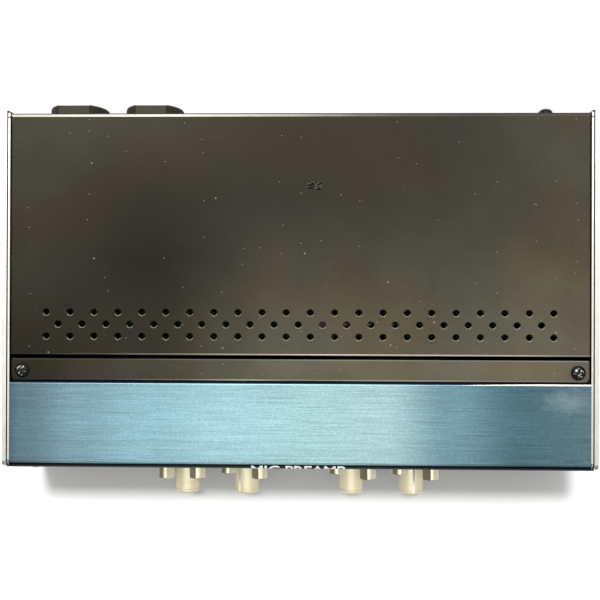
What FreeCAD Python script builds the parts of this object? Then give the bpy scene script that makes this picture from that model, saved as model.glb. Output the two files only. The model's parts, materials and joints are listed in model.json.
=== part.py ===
"""Half-rack two-channel microphone preamp, built as it comes apart on a bench.

Frame: +X right as seen from the front, +Y towards the rear, +Z up. The origin is on the plane the rubber feet
stand on, below the middle of the whole envelope, knob ends to socket noses. All sizes are in millimetres.

A folded steel tray carries everything. A blue aluminium fascia wraps over its front, a black steel cover drops
between its side walls, a black strip screws down over the joint between the two, and an aluminium cheek closes
each side. The front carries four pots with tall knobs, eight push-push switches and two moving-coil meters. The
rear carries two combination inputs, two three-pin outputs, two jack outputs, a rocker switch and a power inlet.
"""

import FreeCAD
import Part

import math
import os

V = FreeCAD.Vector
OUT = "parts"
SIDES = (-1, 1)                      # left and right, as signs of x
INCH = 25.4
TINY = 1e-6

# ---------------------------------------------------------------- driving dimensions: the body
WIDTH = 235.0                        # over the side cheeks
DEPTH = 141.0                        # front face of the fascia to the back of the cover
TOP_Z = 44.4                         # one rack unit, feet included
FOOT_H = 3.0
CHEEK_T = 2.0
TRAY_T = 0.8                         # tray sheet
COVER_T = 1.0                        # cover, ledge and rear panel sheet
FASCIA_T = 1.6
FIT = 0.2                            # gap beside a part that drops in
SLIP = 0.1                           # closer gap, beside a part that is screwed or pressed home
OVER = 1.0                           # a cutting tool runs this far past the face it opens

FRONT_Y = -DEPTH / 2
REAR_Y = DEPTH / 2
HALF_W = WIDTH / 2
WALL_OUT = HALF_W - CHEEK_T          # outer face of the tray's side walls
WALL_IN = WALL_OUT - TRAY_T
COVER_HALF = WALL_IN - FIT
FLOOR_TOP = FOOT_H + TRAY_T
FRONT_BEND_R = 2.9                   # outer radius where the fascia turns down
TRAY_FRONT_Y = FRONT_Y + 3.2         # front face of the tray's front wall
TRAY_FRONT_IN = TRAY_FRONT_Y + TRAY_T
FASCIA_IN = FRONT_Y + FASCIA_T

# ---------------------------------------------------------------- the joint across the top
COVER_FRONT_Y = -25.5                # front edge of the cover's flat top
LEDGE_FRONT_Y = -34.8                # the cover's sunk ledge runs under the strip
LEDGE_TOP = TOP_Z - 2.8
STRIP_Y = (-35.5, -27.1)
STRIP_T = 1.2
STRIP_TOP = LEDGE_TOP + STRIP_T
STRIP_HALF = 114.3
FASCIA_REAR_Y = -35.8
STRIP_SCREW = (109.9, -31.8)         # x is mirrored
COVER_SCREW = (98.0, TOP_Z - 5.5)    # x, z on the rear lip
COVER_REAR_R = 2.0                   # outer radius of the rear bend
COVER_SIDE_R = 1.0                   # outer radius of the side bends, and where the top drops to the ledge
LIP_Z = TOP_Z - 6.0                  # bottom of the rear lip
SIDE_LIP_Z = TOP_Z - 10.0            # bottom of the cover's side lips

# ---------------------------------------------------------------- vents
VENT_R = 1.25
VENT_EDGE = 0.25                     # broken edge round each vent
VENT_PITCH = INCH * 3 / 8
VENT_COLUMNS = 22
VENT_ROWS = 3
VENT_REAR_ROW_Y = -8.6

# ---------------------------------------------------------------- fasteners
M3_R = 1.5
CLEAR_R = 1.7                        # clearance hole for M3
THREAD_R = 1.55                      # a tapped hole is drawn plain, just over the shank
PAN_R = 2.8
PAN_H = 1.7
CHEEK_SCREW_Y = (-45.0, 45.0)
CHEEK_SCREW_Z = 23.5

# ---------------------------------------------------------------- front controls
KNOB_Z = TOP_Z - 25.7
BUTTON_Z = TOP_Z - 11.5
CHANNEL_X = 34.7                     # middle of each channel's controls, mirrored
KNOB_OFFSETS = (-INCH / 2, INCH / 2)
BUTTON_OFFSETS = (-0.75 * INCH, -0.25 * INCH, 0.25 * INCH, 0.75 * INCH)
KNOB_R = 5.0
KNOB_END_Y = FRONT_Y - 14.7
KNOB_BASE_Y = FRONT_Y - 0.4
SHAFT_R = 3.0
BUTTON_R = 3.3
BUTTON_OUT_Y = FRONT_Y - 5.7         # front end of a button that stands out
LATCH_TRAVEL = 2.2                   # how far in a latched button rests
PLUNGER_R = 1.5
CONTROL_BOARD_Z = (25.4, 27.0)

KNOBS = (                            # node, x, pointer angle clockwise from straight up
    ("gain_knob_1", -CHANNEL_X + KNOB_OFFSETS[0], -95.0),
    ("drive_knob_1", -CHANNEL_X + KNOB_OFFSETS[1], -36.0),
    ("gain_knob_2", CHANNEL_X + KNOB_OFFSETS[0], -130.0),
    ("drive_knob_2", CHANNEL_X + KNOB_OFFSETS[1], 8.0),
)
BUTTON_NAMES = ("phantom_button", "pad_button", "polarity_button", "low_cut_button")
LATCHED = {("polarity_button", 1), ("phantom_button", 2), ("polarity_button", 2)}

# ---------------------------------------------------------------- meters and lamps
METER_X = 81.0
METER_Z = 21.5
METER_W = 41.6
METER_H = 29.6
METER_WALL = 1.6
METER_BEZEL = 1.2                    # the case's lip overlaps the fascia by this much
METER_FRONT_Y = FRONT_Y - 0.8
METER_BACK_Y = -50.0
SCALE_Y = -60.0                      # front of the scale card
PIVOT_Z = METER_Z - 10.6
NEEDLE_LENGTH = 20.8
NEEDLE_REST = -45.0
LAMP_X = 105.3
LAMP_Z = TOP_Z - 4.5
LAMP_R = 1.5

# ---------------------------------------------------------------- rear
PANEL_Y = (REAR_Y - 2.0, REAR_Y - 1.0)
PANEL_FLANGE = 9.0                   # the panel's foot, screwed to the tray's floor
PANEL_SCREW_X = (-104.0, 16.0, 108.0)
PANEL_SCREW_Y = PANEL_Y[0] - PANEL_FLANGE / 2
SOCKET_Z = 22.9
COMBO_X = (-92.8, -61.1)
OUTPUT_X = (-29.4, 2.3)
JACK_X = (29.0, 47.0)
JACK_Z = 20.6
JACK_BORE_R = 3.25                   # takes a 6.35 mm plug
SWITCH_X = 70.0
SWITCH_Z = 22.0
INLET_X = 96.0
INLET_Z = 17.0
NOSE_R = 12.0
COMBO_NOSE_Y = REAR_Y + 6.0
FLANGE = (26.0, 31.0)                # width and height of a D-size flange
FLANGE_SCREW = (9.5, 12.0)
TAB_HALF = 6.4
TAB_TOP = 10.0                       # above the socket's axis

# the case is drawn about its own middle, then moved back so that the origin is below the envelope's middle
ENVELOPE_SHIFT = -(KNOB_END_Y + COMBO_NOSE_Y) / 2

# ---------------------------------------------------------------- boards
BOARD_Z = (9.0, 10.6)
BOARD_TOP = BOARD_Z[1]
STANDOFFS = [(x, y) for x in (-77.0, -13.5, 86.0) for y in (-31.0, 42.0)]
FOOT_AT = [(x, y) for x in (-98.0, 98.0) for y in (-52.0, 52.0)]
TUBE_Y = VENT_REAR_ROW_Y - VENT_PITCH / 2
TUBE_Z = 24.5
TUBE_R = 10.4


# ================================================================ helpers
def box(x0, x1, y0, y1, z0, z1):
    return Part.makeBox(x1 - x0, y1 - y0, z1 - z0, V(x0, y0, z0))


def rod(axis, at, r, start, end):
    """A round bar along axis 'x', 'y' or 'z'. at holds the two other coordinates, in x, y, z order."""
    where = {"x": V(start, *at), "y": V(at[0], start, at[1]), "z": V(*at, start)}[axis]
    along = {"x": V(1, 0, 0), "y": V(0, 1, 0), "z": V(0, 0, 1)}[axis]
    return Part.makeCylinder(r, end - start, where, along)


def rounded_corner(corners, i):
    """Start, middle and end of the arc that replaces corner i, or the corner three times if it is sharp."""
    u, v, r = corners[i]
    here = V(u, v, 0)
    if not r:
        return here, here, here
    back = (V(*corners[i - 1][:2], 0) - here).normalize()
    on = (V(*corners[(i + 1) % len(corners)][:2], 0) - here).normalize()
    half = back.getAngle(on) / 2
    reach = r / math.tan(half)
    centre = here + (back + on).normalize() * (r / math.sin(half))
    middle = centre + (here - centre).normalize() * r
    return here + back * reach, middle, here + on * reach


def outline(corners, place):
    """A closed face from (u, v, radius) corners. place turns (u, v) into a point."""
    arcs = [rounded_corner(corners, i) for i in range(len(corners))]
    edges = []
    for i, arc in enumerate(arcs):
        start, middle, end = [place(p.x, p.y) for p in arc]
        following = arcs[(i + 1) % len(arcs)][0]
        following = place(following.x, following.y)
        if (start - end).Length > TINY:
            edges.append(Part.Arc(start, middle, end).toShape())
        if (following - end).Length > TINY:
            edges.append(Part.makeLine(end, following))
    return Part.Face(Part.Wire(edges))


def extrude_x(corners, x0, x1):
    return outline(corners, lambda y, z: V(x0, y, z)).extrude(V(x1 - x0, 0, 0))


def extrude_y(corners, y0, y1):
    return outline(corners, lambda x, z: V(x, y0, z)).extrude(V(0, y1 - y0, 0))


def extrude_z(corners, z0, z1):
    return outline(corners, lambda x, y: V(x, y, z0)).extrude(V(0, 0, z1 - z0))


def rectangle(u0, u1, v0, v1, r=0.0):
    return [(u0, v0, r), (u1, v0, r), (u1, v1, r), (u0, v1, r)]


def centred(u, v, half_u, half_v, r=0.0):
    """A rectangle about a middle point."""
    return rectangle(u - half_u, u + half_u, v - half_v, v + half_v, r)


def hexagon(u, v, across_flats):
    r = across_flats / math.sqrt(3)
    angles = [math.radians(60 * i) for i in range(6)]
    return [(u + r * math.cos(a), v + r * math.sin(a), 0) for a in angles]


def turned(corners):
    """A solid of revolution about +Z from (radius, height, corner radius) corners."""
    return outline(corners, lambda r, z: V(r, 0, z)).revolve(V(0, 0, 0), V(0, 0, 1), 360)


def stand(shape, at, direction):
    """Moves a shape built along +Z from the origin so that it starts at a point and runs along a direction."""
    turn = FreeCAD.Rotation(V(0, 0, 1), direction)
    placed = shape.copy()
    placed.Placement = FreeCAD.Placement(at, turn).multiply(placed.Placement)
    return placed


def union(shapes):
    return shapes[0].multiFuse(shapes[1:]).removeSplitter()


def cut(shape, tools):
    return shape.cut(Part.makeCompound(tools))


def mirrored(shape):
    return shape.mirror(V(0, 0, 0), V(1, 0, 0))


def edges_at_y(shape, y):
    """The edges that lie wholly in the plane at y."""
    return [e for e in shape.Edges if abs(e.BoundBox.YMin - y) < TINY and e.BoundBox.YLength < TINY]


def save(name, shapes):
    """One STEP per node. A node of several pieces holds them as separate solids."""
    solids = [s for shape in shapes for s in shape.Solids]
    for solid in solids:
        if not solid.isValid() or solid.Volume <= 0:
            raise ValueError(f"{name} holds a bad solid")
    whole = solids[0] if len(solids) == 1 else Part.makeCompound(solids)
    whole.translate(V(0, ENVELOPE_SHIFT, 0))
    whole.exportStep(os.path.join(OUT, name + ".step"))


# ================================================================ screws
RECESS_REACH = 0.62                  # cross recess: reach as a share of the head's radius
RECESS_DEPTH = 0.65                  # as a share of the head's height
RECESS_SLIM = 0.24                   # half an arm's width as a share of its reach, before the wear allowance
RECESS_WEAR = 0.1
PAN_RIM = 0.45                       # height of a pan head's straight rim, as a share of the head's
PAN_SHOULDER = (0.72, 0.86)          # a point on the dome, as shares of radius and height
FLAT_H = 1.35


def cross_recess(head_r, head_h, top):
    reach = RECESS_REACH * head_r
    half = RECESS_SLIM * reach + RECESS_WEAR
    bottom = top - RECESS_DEPTH * head_h
    over = top + OVER
    return [box(-reach, reach, -half, half, bottom, over), box(-half, half, -reach, reach, bottom, over)]


def pan_screw(length, head_r=PAN_R, head_h=PAN_H, r=M3_R):
    """Pan head with a cross recess. The head's seat is at z = 0, the head above it and the shank below."""
    foot_of_head, rim = V(head_r, 0, 0), V(head_r, 0, PAN_RIM * head_h)
    shoulder, crown = V(PAN_SHOULDER[0] * head_r, 0, PAN_SHOULDER[1] * head_h), V(0, 0, head_h)
    profile = Part.Wire([
        Part.makeLine(V(0, 0, 0), foot_of_head),
        Part.makeLine(foot_of_head, rim),
        Part.Arc(rim, shoulder, crown).toShape(),
        Part.makeLine(crown, V(0, 0, 0)),
    ])
    head = Part.Face(profile).revolve(V(0, 0, 0), V(0, 0, 1), 360)
    shank = rod("z", (0, 0), r, -length, 0)
    return cut(union([head, shank]), cross_recess(head_r, head_h, head_h))


def flat_screw(length):
    """Countersunk head. The head's flat top is at z = 0 and the screw runs down from it."""
    head = Part.makeCone(PAN_R, M3_R, FLAT_H, V(0, 0, 0), V(0, 0, -1))
    shank = rod("z", (0, 0), M3_R, -length, -FLAT_H)
    return cut(union([head, shank]), cross_recess(PAN_R, FLAT_H, 0))


def strip_screw_place(side):
    return (side * STRIP_SCREW[0], STRIP_SCREW[1])


STRIP_SCREW_LENGTH = 7.0
STRIP_SCREW_HEAD = 1.45
COVER_SCREW_LENGTH = 5.0
COVER_SCREW_HEAD = 2.2
CHEEK_SCREW_LENGTH = 5.5
CHEEK_SCREW_SUNK = 0.05              # below the cheek's face
PANEL_SCREW_LENGTH = 5.0
BOARD_SCREW_LENGTH = 6.0
FOOT_SCREW_LENGTH = 4.2
FOOT_SCREW_HEAD = 1.5
FLANGE_SCREW_LENGTH = 8.0
FLANGE_SCREW_R = 1.35
FLANGE_SCREW_HEAD = (2.7, 1.6)       # radius and height


def strip_screws():
    screw = pan_screw(STRIP_SCREW_LENGTH, head_h=STRIP_SCREW_HEAD)
    return [stand(screw, V(*strip_screw_place(side), STRIP_TOP), V(0, 0, 1)) for side in SIDES]


def cover_screw():
    screw = pan_screw(COVER_SCREW_LENGTH, head_h=COVER_SCREW_HEAD)
    return stand(screw, V(COVER_SCREW[0], REAR_Y, COVER_SCREW[1]), V(0, 1, 0))


def cheek_screws():
    screw = flat_screw(CHEEK_SCREW_LENGTH)
    x = HALF_W - CHEEK_SCREW_SUNK
    return [stand(screw, V(side * x, y, CHEEK_SCREW_Z), V(side, 0, 0))
            for side in SIDES for y in CHEEK_SCREW_Y]


def panel_screws():
    screw = pan_screw(PANEL_SCREW_LENGTH)
    return [stand(screw, V(x, PANEL_SCREW_Y, FOOT_H), V(0, 0, -1)) for x in PANEL_SCREW_X]


def board_screws():
    screw = pan_screw(BOARD_SCREW_LENGTH)
    return [stand(screw, V(*place, BOARD_TOP), V(0, 0, 1)) for place in STANDOFFS]


def foot_screws():
    screw = pan_screw(FOOT_SCREW_LENGTH, head_h=FOOT_SCREW_HEAD)
    return [stand(screw, V(*place, FOOT_SEAT_Z), V(0, 0, -1)) for place in FOOT_AT]


def connector_screws():
    screw = pan_screw(FLANGE_SCREW_LENGTH, *FLANGE_SCREW_HEAD, FLANGE_SCREW_R)
    return [stand(screw, V(x, PANEL_Y[1], z), V(0, 1, 0)) for x, z in flange_screw_places()]


def flange_screw_places():
    """Two to a socket, at opposite corners of its flange."""
    return [(x + side * FLANGE_SCREW[0], SOCKET_Z - side * FLANGE_SCREW[1])
            for x in COMBO_X + OUTPUT_X for side in SIDES]


# ================================================================ the case
CONTROL_GAP = 0.3                    # round lamps and meters in the tray's front, and buttons in the fascia
METER_FASCIA_GAP = 0.2
METER_CORNER = 1.7                   # corner radius of the fascia's meter windows
LAMP_FASCIA_GAP = 0.08
BUTTON_TRAY_GAP = 0.5
POT_TRAY_R = 3.6
POT_FASCIA_R = 3.7
STRIP_TAB = (6.0, 5.0, 1.1)          # tab under each strip screw: reach inward, half length, thickness
RELIEF = (0.4, 2.2)                  # notch at the rear end of each wall: width and depth from the top
RELIEF_FROM_REAR = 2.0
SLOT_COUNT = 15                      # slots in the floor under the boards
SLOT_PITCH = 6.0
SLOT_HALF = (1.2, 12.0)
SLOT_END_R = 1.19


def chassis_tray():
    """Floor, side walls and front wall folded from one sheet, with a tab under each end of the strip."""
    floor = box(-WALL_OUT, WALL_OUT, TRAY_FRONT_Y, PANEL_Y[1], FOOT_H, FLOOR_TOP)
    wall = box(WALL_IN, WALL_OUT, TRAY_FRONT_Y, REAR_Y - SLIP, FOOT_H, TOP_Z - FIT)
    front = box(-WALL_IN, WALL_IN, TRAY_FRONT_Y, TRAY_FRONT_IN, FOOT_H, TOP_Z - FRONT_BEND_R)
    reach, half, thick = STRIP_TAB
    x, y = STRIP_SCREW
    tab_top = LEDGE_TOP - COVER_T - SLIP
    tab = box(x - reach, WALL_IN, y - half, y + half, tab_top - thick, tab_top)
    body = union([floor, wall, mirrored(wall), front, tab, mirrored(tab)])
    return cut(body, tray_front_holes() + tray_floor_holes() + tray_side_holes(tab_top))


def tray_front_holes():
    through = (TRAY_FRONT_Y - OVER, TRAY_FRONT_IN + OVER)
    holes = [rod("y", (x, KNOB_Z), POT_TRAY_R, *through) for _, x, _ in KNOBS]
    holes += [rod("y", (x, BUTTON_Z), BUTTON_R + BUTTON_TRAY_GAP, *through) for _, x, _ in buttons()]
    for side in SIDES:
        holes.append(rod("y", (side * LAMP_X, LAMP_Z), LAMP_R + CONTROL_GAP, *through))
        window = centred(side * METER_X, METER_Z, METER_W / 2 + CONTROL_GAP, METER_H / 2 + CONTROL_GAP)
        holes.append(extrude_y(window, *through))
    return holes


def tray_floor_holes():
    through = (FOOT_H - OVER, FLOOR_TOP + OVER)
    holes = [rod("z", place, THREAD_R, *through) for place in FOOT_AT + STANDOFFS]
    holes += [rod("z", (x, PANEL_SCREW_Y), CLEAR_R, *through) for x in PANEL_SCREW_X]
    for i in range(SLOT_COUNT):
        x = (i - (SLOT_COUNT - 1) / 2) * SLOT_PITCH
        holes.append(extrude_z(centred(x, 0, *SLOT_HALF, SLOT_END_R), *through))
    return holes


def tray_side_holes(tab_top):
    width, deep = RELIEF
    relief_y = REAR_Y - RELIEF_FROM_REAR
    holes = []
    for side in SIDES:
        inner, outer = sorted((side * (WALL_IN - OVER), side * (WALL_OUT + OVER)))
        tab_bottom = tab_top - STRIP_TAB[2]
        holes.append(rod("z", strip_screw_place(side), THREAD_R, tab_bottom - OVER, tab_top + OVER))
        holes += [rod("x", (y, CHEEK_SCREW_Z), THREAD_R, inner, outer) for y in CHEEK_SCREW_Y]
        holes.append(box(inner, outer, relief_y, relief_y + width, TOP_Z - deep, TOP_Z))
    return holes


PANEL_NOSE_GAP = 0.15                # round a socket's nose
JACK_HOLE_R = 4.9
INLET_HOLE_R = 4.1
SWITCH_CUTOUT = (6.6, 9.7)           # half width and half height


def rear_panel():
    """Folded black panel. It narrows near the top to clear the cover's side lips."""
    edge = WALL_IN - SLIP
    narrow = COVER_HALF - COVER_T - FIT
    step = SIDE_LIP_Z - 2 * FIT
    top = TOP_Z - COVER_REAR_R - FIT
    face = extrude_y(
        [(-edge, FLOOR_TOP, 0), (edge, FLOOR_TOP, 0), (edge, step, 0), (narrow, step, 0),
         (narrow, top, 0), (-narrow, top, 0), (-narrow, step, 0), (-edge, step, 0)],
        *PANEL_Y)
    flange = box(-edge, edge, PANEL_Y[0] - PANEL_FLANGE, PANEL_Y[0], FLOOR_TOP, FLOOR_TOP + COVER_T)
    return cut(union([face, flange]), panel_holes())


def panel_holes():
    through = (PANEL_Y[0] - OVER, PANEL_Y[1] + OVER)
    holes = [rod("z", (x, PANEL_SCREW_Y), THREAD_R, FLOOR_TOP - OVER, FLOOR_TOP + COVER_T + OVER)
             for x in PANEL_SCREW_X]
    holes += [rod("y", (x, SOCKET_Z), NOSE_R + PANEL_NOSE_GAP, *through) for x in COMBO_X + OUTPUT_X]
    holes += [rod("y", place, CLEAR_R, *through) for place in flange_screw_places()]
    holes += [rod("y", (x, JACK_Z), JACK_HOLE_R, *through) for x in JACK_X]
    holes.append(rod("y", (INLET_X, INLET_Z), INLET_HOLE_R, *through))
    holes.append(rod("y", COVER_SCREW, THREAD_R, *through))
    holes.append(extrude_y(centred(SWITCH_X, SWITCH_Z, *SWITCH_CUTOUT), *through))
    return holes


LIP_TAB_HALF = 8.0                   # the rear lip reaches lower this far each side of the cover screw


def top_cover():
    """Flat top with a sunk ledge in front, a lip at the rear and one down each side."""
    body = union([cut(cover_shell(), cover_openings()), cover_ledge()])
    ledge = (LEDGE_TOP - COVER_T - OVER, LEDGE_TOP + OVER)
    holes = [rod("z", strip_screw_place(side), CLEAR_R, *ledge) for side in SIDES]
    holes.append(rod("y", COVER_SCREW, CLEAR_R, REAR_Y - COVER_T - OVER, REAR_Y + OVER))
    edge_z = TOP_Z - VENT_EDGE
    for x, y in vents():
        holes.append(rod("z", (x, y), VENT_R, TOP_Z - COVER_T - OVER, TOP_Z + OVER))
        holes.append(Part.makeCone(VENT_R, VENT_R + VENT_EDGE, VENT_EDGE, V(x, y, edge_z), V(0, 0, 1)))
    return cut(body, holes)


def cover_shell():
    """The cover before its front and lips are opened: a folded lid, closed at the front."""
    t = COVER_T
    outer = extrude_x([(COVER_FRONT_Y, SIDE_LIP_Z, 0), (REAR_Y, SIDE_LIP_Z, 0), (REAR_Y, TOP_Z, COVER_REAR_R),
                       (COVER_FRONT_Y, TOP_Z, COVER_SIDE_R)], -COVER_HALF, COVER_HALF)
    across = [(-COVER_HALF, SIDE_LIP_Z, 0), (COVER_HALF, SIDE_LIP_Z, 0), (COVER_HALF, TOP_Z, COVER_SIDE_R),
              (-COVER_HALF, TOP_Z, COVER_SIDE_R)]
    outer = outer.common(extrude_y(across, COVER_FRONT_Y, REAR_Y))
    inner = extrude_x([(COVER_FRONT_Y + t, SIDE_LIP_Z - OVER, 0), (REAR_Y - t, SIDE_LIP_Z - OVER, 0),
                       (REAR_Y - t, TOP_Z - t, COVER_REAR_R - t), (COVER_FRONT_Y + t, TOP_Z - t, 0)],
                      t - COVER_HALF, COVER_HALF - t)
    return outer.cut(inner)


def cover_openings():
    """What is taken off the lid: the front below the ledge, and the rear lip's lower part except at its tab."""
    t, wide, low = COVER_T, COVER_HALF + OVER, SIDE_LIP_Z - OVER
    tab = (COVER_SCREW[0] - LIP_TAB_HALF, COVER_SCREW[0] + LIP_TAB_HALF)
    return [
        box(-wide, wide, COVER_FRONT_Y - OVER, COVER_FRONT_Y + t, low, LEDGE_TOP - t),
        box(-wide, tab[0], REAR_Y - t, REAR_Y + OVER, low, LIP_Z),
        box(tab[1], wide, REAR_Y - t, REAR_Y + OVER, low, LIP_Z),
    ]


def cover_ledge():
    rear = COVER_FRONT_Y + COVER_T
    return box(-STRIP_HALF, STRIP_HALF, LEDGE_FRONT_Y, rear, LEDGE_TOP - COVER_T, LEDGE_TOP)


def vents():
    """Staggered rows at half the pitch, every other one a hole shorter and half a pitch across."""
    places = []
    for row in range(VENT_ROWS):
        columns = VENT_COLUMNS - row % 2
        for column in range(columns):
            x = (column - (columns - 1) / 2) * VENT_PITCH
            places.append((x, VENT_REAR_ROW_Y - row * VENT_PITCH / 2))
    return places


FASCIA_FOOT_R = 0.6
FASCIA_REAR_R = 1.2
FASCIA_TURN = 2.5                    # depth of the turned-down rear edge


def front_fascia():
    """Bent sheet: front face, large bend, top flange, and a short turned-down rear edge."""
    t, half, bottom = FASCIA_T, COVER_HALF + SLIP, FOOT_H + FIT
    turn_z, under = TOP_Z - FASCIA_TURN, TOP_Z - t
    profile = [
        (FRONT_Y, bottom, FASCIA_FOOT_R), (FRONT_Y, TOP_Z, FRONT_BEND_R),
        (FASCIA_REAR_Y, TOP_Z, FASCIA_REAR_R), (FASCIA_REAR_Y, turn_z, 0), (FASCIA_REAR_Y - t, turn_z, 0),
        (FASCIA_REAR_Y - t, under, 0),
        (FASCIA_IN, under, FRONT_BEND_R - t), (FASCIA_IN, bottom, 0),
    ]
    return cut(extrude_x(profile, -half, half), fascia_holes())


def fascia_holes():
    through = (FRONT_Y - OVER, FASCIA_IN + OVER)
    holes = [rod("y", (x, KNOB_Z), POT_FASCIA_R, *through) for _, x, _ in KNOBS]
    holes += [rod("y", (x, BUTTON_Z), BUTTON_R + CONTROL_GAP, *through) for _, x, _ in buttons()]
    half = (METER_W / 2 + METER_FASCIA_GAP, METER_H / 2 + METER_FASCIA_GAP)
    for side in SIDES:
        holes.append(rod("y", (side * LAMP_X, LAMP_Z), LAMP_R + LAMP_FASCIA_GAP, *through))
        holes.append(extrude_y(centred(side * METER_X, METER_Z, *half, METER_CORNER), *through))
    return holes


STRIP_FRONT_R = 1.8
STRIP_REAR_R = 0.6


def retaining_strip():
    front, rear = STRIP_Y
    plan = [(-STRIP_HALF, front, STRIP_FRONT_R), (STRIP_HALF, front, STRIP_FRONT_R),
            (STRIP_HALF, rear, STRIP_REAR_R), (-STRIP_HALF, rear, STRIP_REAR_R)]
    holes = [rod("z", strip_screw_place(side), CLEAR_R, LEDGE_TOP - OVER, TOP_Z) for side in SIDES]
    return cut(extrude_z(plan, LEDGE_TOP, STRIP_TOP), holes)


CHEEK_TAIL_Y = REAR_Y + 1.0
CHEEK_TAIL_R = 0.8                   # outer corner at the rear, seen from above
CHEEK_NOSE_R = 1.6                   # outer corner at the front, seen from above
CHEEK_NOSE_IN_R = 0.4
CHEEK_NOSE_X = COVER_HALF + 0.3      # the nose turns in as far as this
CHEEK_END_R = 1.0                    # rear corners, seen from the side
CHEEK_GROOVE = (0.4, 1.2)            # width and depth of the shadow line beside the tray's wall
MITRE_DEPTH = 4.0                    # the same line carried across the nose
MITRE_INSET = 0.5
SINK_DEPTH = 1.4


def side_cheek():
    """Right-hand cheek. Its nose turns in over the end of the tray wall, beside the fascia."""
    nose_y = TRAY_FRONT_Y - FIT
    plan = [
        (WALL_OUT, CHEEK_TAIL_Y, 0), (HALF_W, CHEEK_TAIL_Y, CHEEK_TAIL_R), (HALF_W, FRONT_Y, CHEEK_NOSE_R),
        (CHEEK_NOSE_X, FRONT_Y, CHEEK_NOSE_IN_R), (CHEEK_NOSE_X, nose_y, 0), (WALL_OUT, nose_y, 0),
    ]
    side = [(FRONT_Y, FOOT_H, FRONT_BEND_R), (CHEEK_TAIL_Y, FOOT_H, CHEEK_END_R),
            (CHEEK_TAIL_Y, TOP_Z, CHEEK_END_R), (FRONT_Y, TOP_Z, FRONT_BEND_R)]
    slab = extrude_x(side, CHEEK_NOSE_X - OVER, HALF_W + OVER)
    body = extrude_z(plan, FOOT_H - OVER, TOP_Z + OVER).common(slab)
    return cut(body, cheek_grooves(nose_y) + cheek_sinks())


def cheek_grooves(nose_y):
    """A shadow line along the tray's wall and slantwise across the nose."""
    width, deep = CHEEK_GROOVE
    near, far = WALL_OUT - SLIP, WALL_OUT + width
    along = box(near, far, nose_y, CHEEK_TAIL_Y + OVER, TOP_Z - deep, TOP_Z + OVER)
    ahead = FRONT_Y - MITRE_INSET
    slant = [(near, TRAY_FRONT_Y, 0), (far, TRAY_FRONT_Y, 0), (CHEEK_NOSE_X + MITRE_INSET, ahead, 0),
             (CHEEK_NOSE_X - SLIP, ahead, 0)]
    return [along, extrude_z(slant, TOP_Z - MITRE_DEPTH, TOP_Z + OVER)]


def cheek_sinks():
    holes = []
    for y in CHEEK_SCREW_Y:
        at = V(HALF_W, y, CHEEK_SCREW_Z)
        holes.append(Part.makeCone(PAN_R + SLIP, CLEAR_R, SINK_DEPTH, at, V(-1, 0, 0)))
        holes.append(rod("x", (y, CHEEK_SCREW_Z), CLEAR_R, WALL_OUT - OVER, HALF_W + OVER))
    return holes


FOOT_BOTTOM_R = 6.3
FOOT_TOP_R = 6.9
FOOT_EDGE_R = 0.7
FOOT_SEAT_R = 3.3
FOOT_SEAT_Z = 1.9                    # depth of the seat for the foot's screw


def foot(x, y):
    """Turned rubber foot with a sunk seat for its screw."""
    body = turned([(0, 0, 0), (FOOT_BOTTOM_R, 0, FOOT_EDGE_R), (FOOT_TOP_R, FOOT_H, 0), (0, FOOT_H, 0)])
    seat = rod("z", (0, 0), FOOT_SEAT_R, -OVER, FOOT_SEAT_Z)
    body = cut(body, [seat, rod("z", (0, 0), CLEAR_R, 0, FOOT_H + OVER)])
    body.translate(V(x, y, 0))
    return body


# ================================================================ front controls
KNOB_FLARE = 0.1                     # the knob is this much fatter at its base
KNOB_LINE = (1.75, 0.15, 0.12)       # turned line near the end: distance from the end, half width, depth
KNOB_NOSE_R = 1.3
KNOB_DISH = (3.6, 3.3, 0.3)          # shallow dish in the face: outer and inner radius, depth
KNOB_BORE_DEPTH = 11.2
PRESS_FIT = 0.02                     # between a shaft or a plunger and what is pushed onto it
POINTER_HALF = 0.45
POINTER_DEPTH = 0.35
FACE_MARK = (1.6, 0.65)              # the pointer's run across the face: inner radius, depth from the end
POT_HALF = 4.8
POT_DEPTH = 9.0
POT_BUSH_R = 3.5
NUT_T = 1.4
POT_NUT_FLATS = 10.0
NUT_GAP = 0.05
SHAFT_GAP = 0.06
SHAFT_IN = (10.9, 7.5)               # shaft inside the knob, and past the tray's front wall
SHAFT_FLAT = (2.0, 1.8)              # where the flat starts from the knob's base, and its height on the shaft
SHAFT_END_GAP = 0.2


def buttons():
    """(node, x, how far in it rests) for the eight buttons."""
    found = []
    for channel, middle in ((1, -CHANNEL_X), (2, CHANNEL_X)):
        for name, offset in zip(BUTTON_NAMES, BUTTON_OFFSETS):
            resting = LATCH_TRAVEL if (name, channel) in LATCHED else 0.0
            found.append((f"{name}_{channel}", middle + offset, resting))
    return found


def knob(x, angle):
    """Tall straight knob with a rounded nose, a shallow dish and a pointer groove down its side and face."""
    body = stand(cut(knob_body(), knob_marks()), V(x, KNOB_BASE_Y, KNOB_Z), V(0, -1, 0))
    # after standing the knob up its pointer lies along +z or -z, so bring it to the top first
    pointer = FreeCAD.Rotation(V(0, 0, 1), V(0, -1, 0)).multVec(V(0, 1, 0))
    offset = math.degrees(math.atan2(pointer.x, pointer.z))
    body.rotate(V(x, 0, KNOB_Z), V(0, 1, 0), angle - offset)
    return body


def knob_body():
    length = KNOB_BASE_Y - KNOB_END_Y
    back, half, deep = KNOB_LINE
    line = length - back
    dish_out, dish_in, dish_deep = KNOB_DISH
    return turned([
        (0, 0, 0), (KNOB_R + KNOB_FLARE, 0, 0), (KNOB_R, line - half, 0), (KNOB_R - deep, line, 0),
        (KNOB_R, line + half, 0), (KNOB_R, length, KNOB_NOSE_R), (dish_out, length, 0),
        (dish_in, length - dish_deep, 0), (0, length - dish_deep, 0),
    ])


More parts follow.
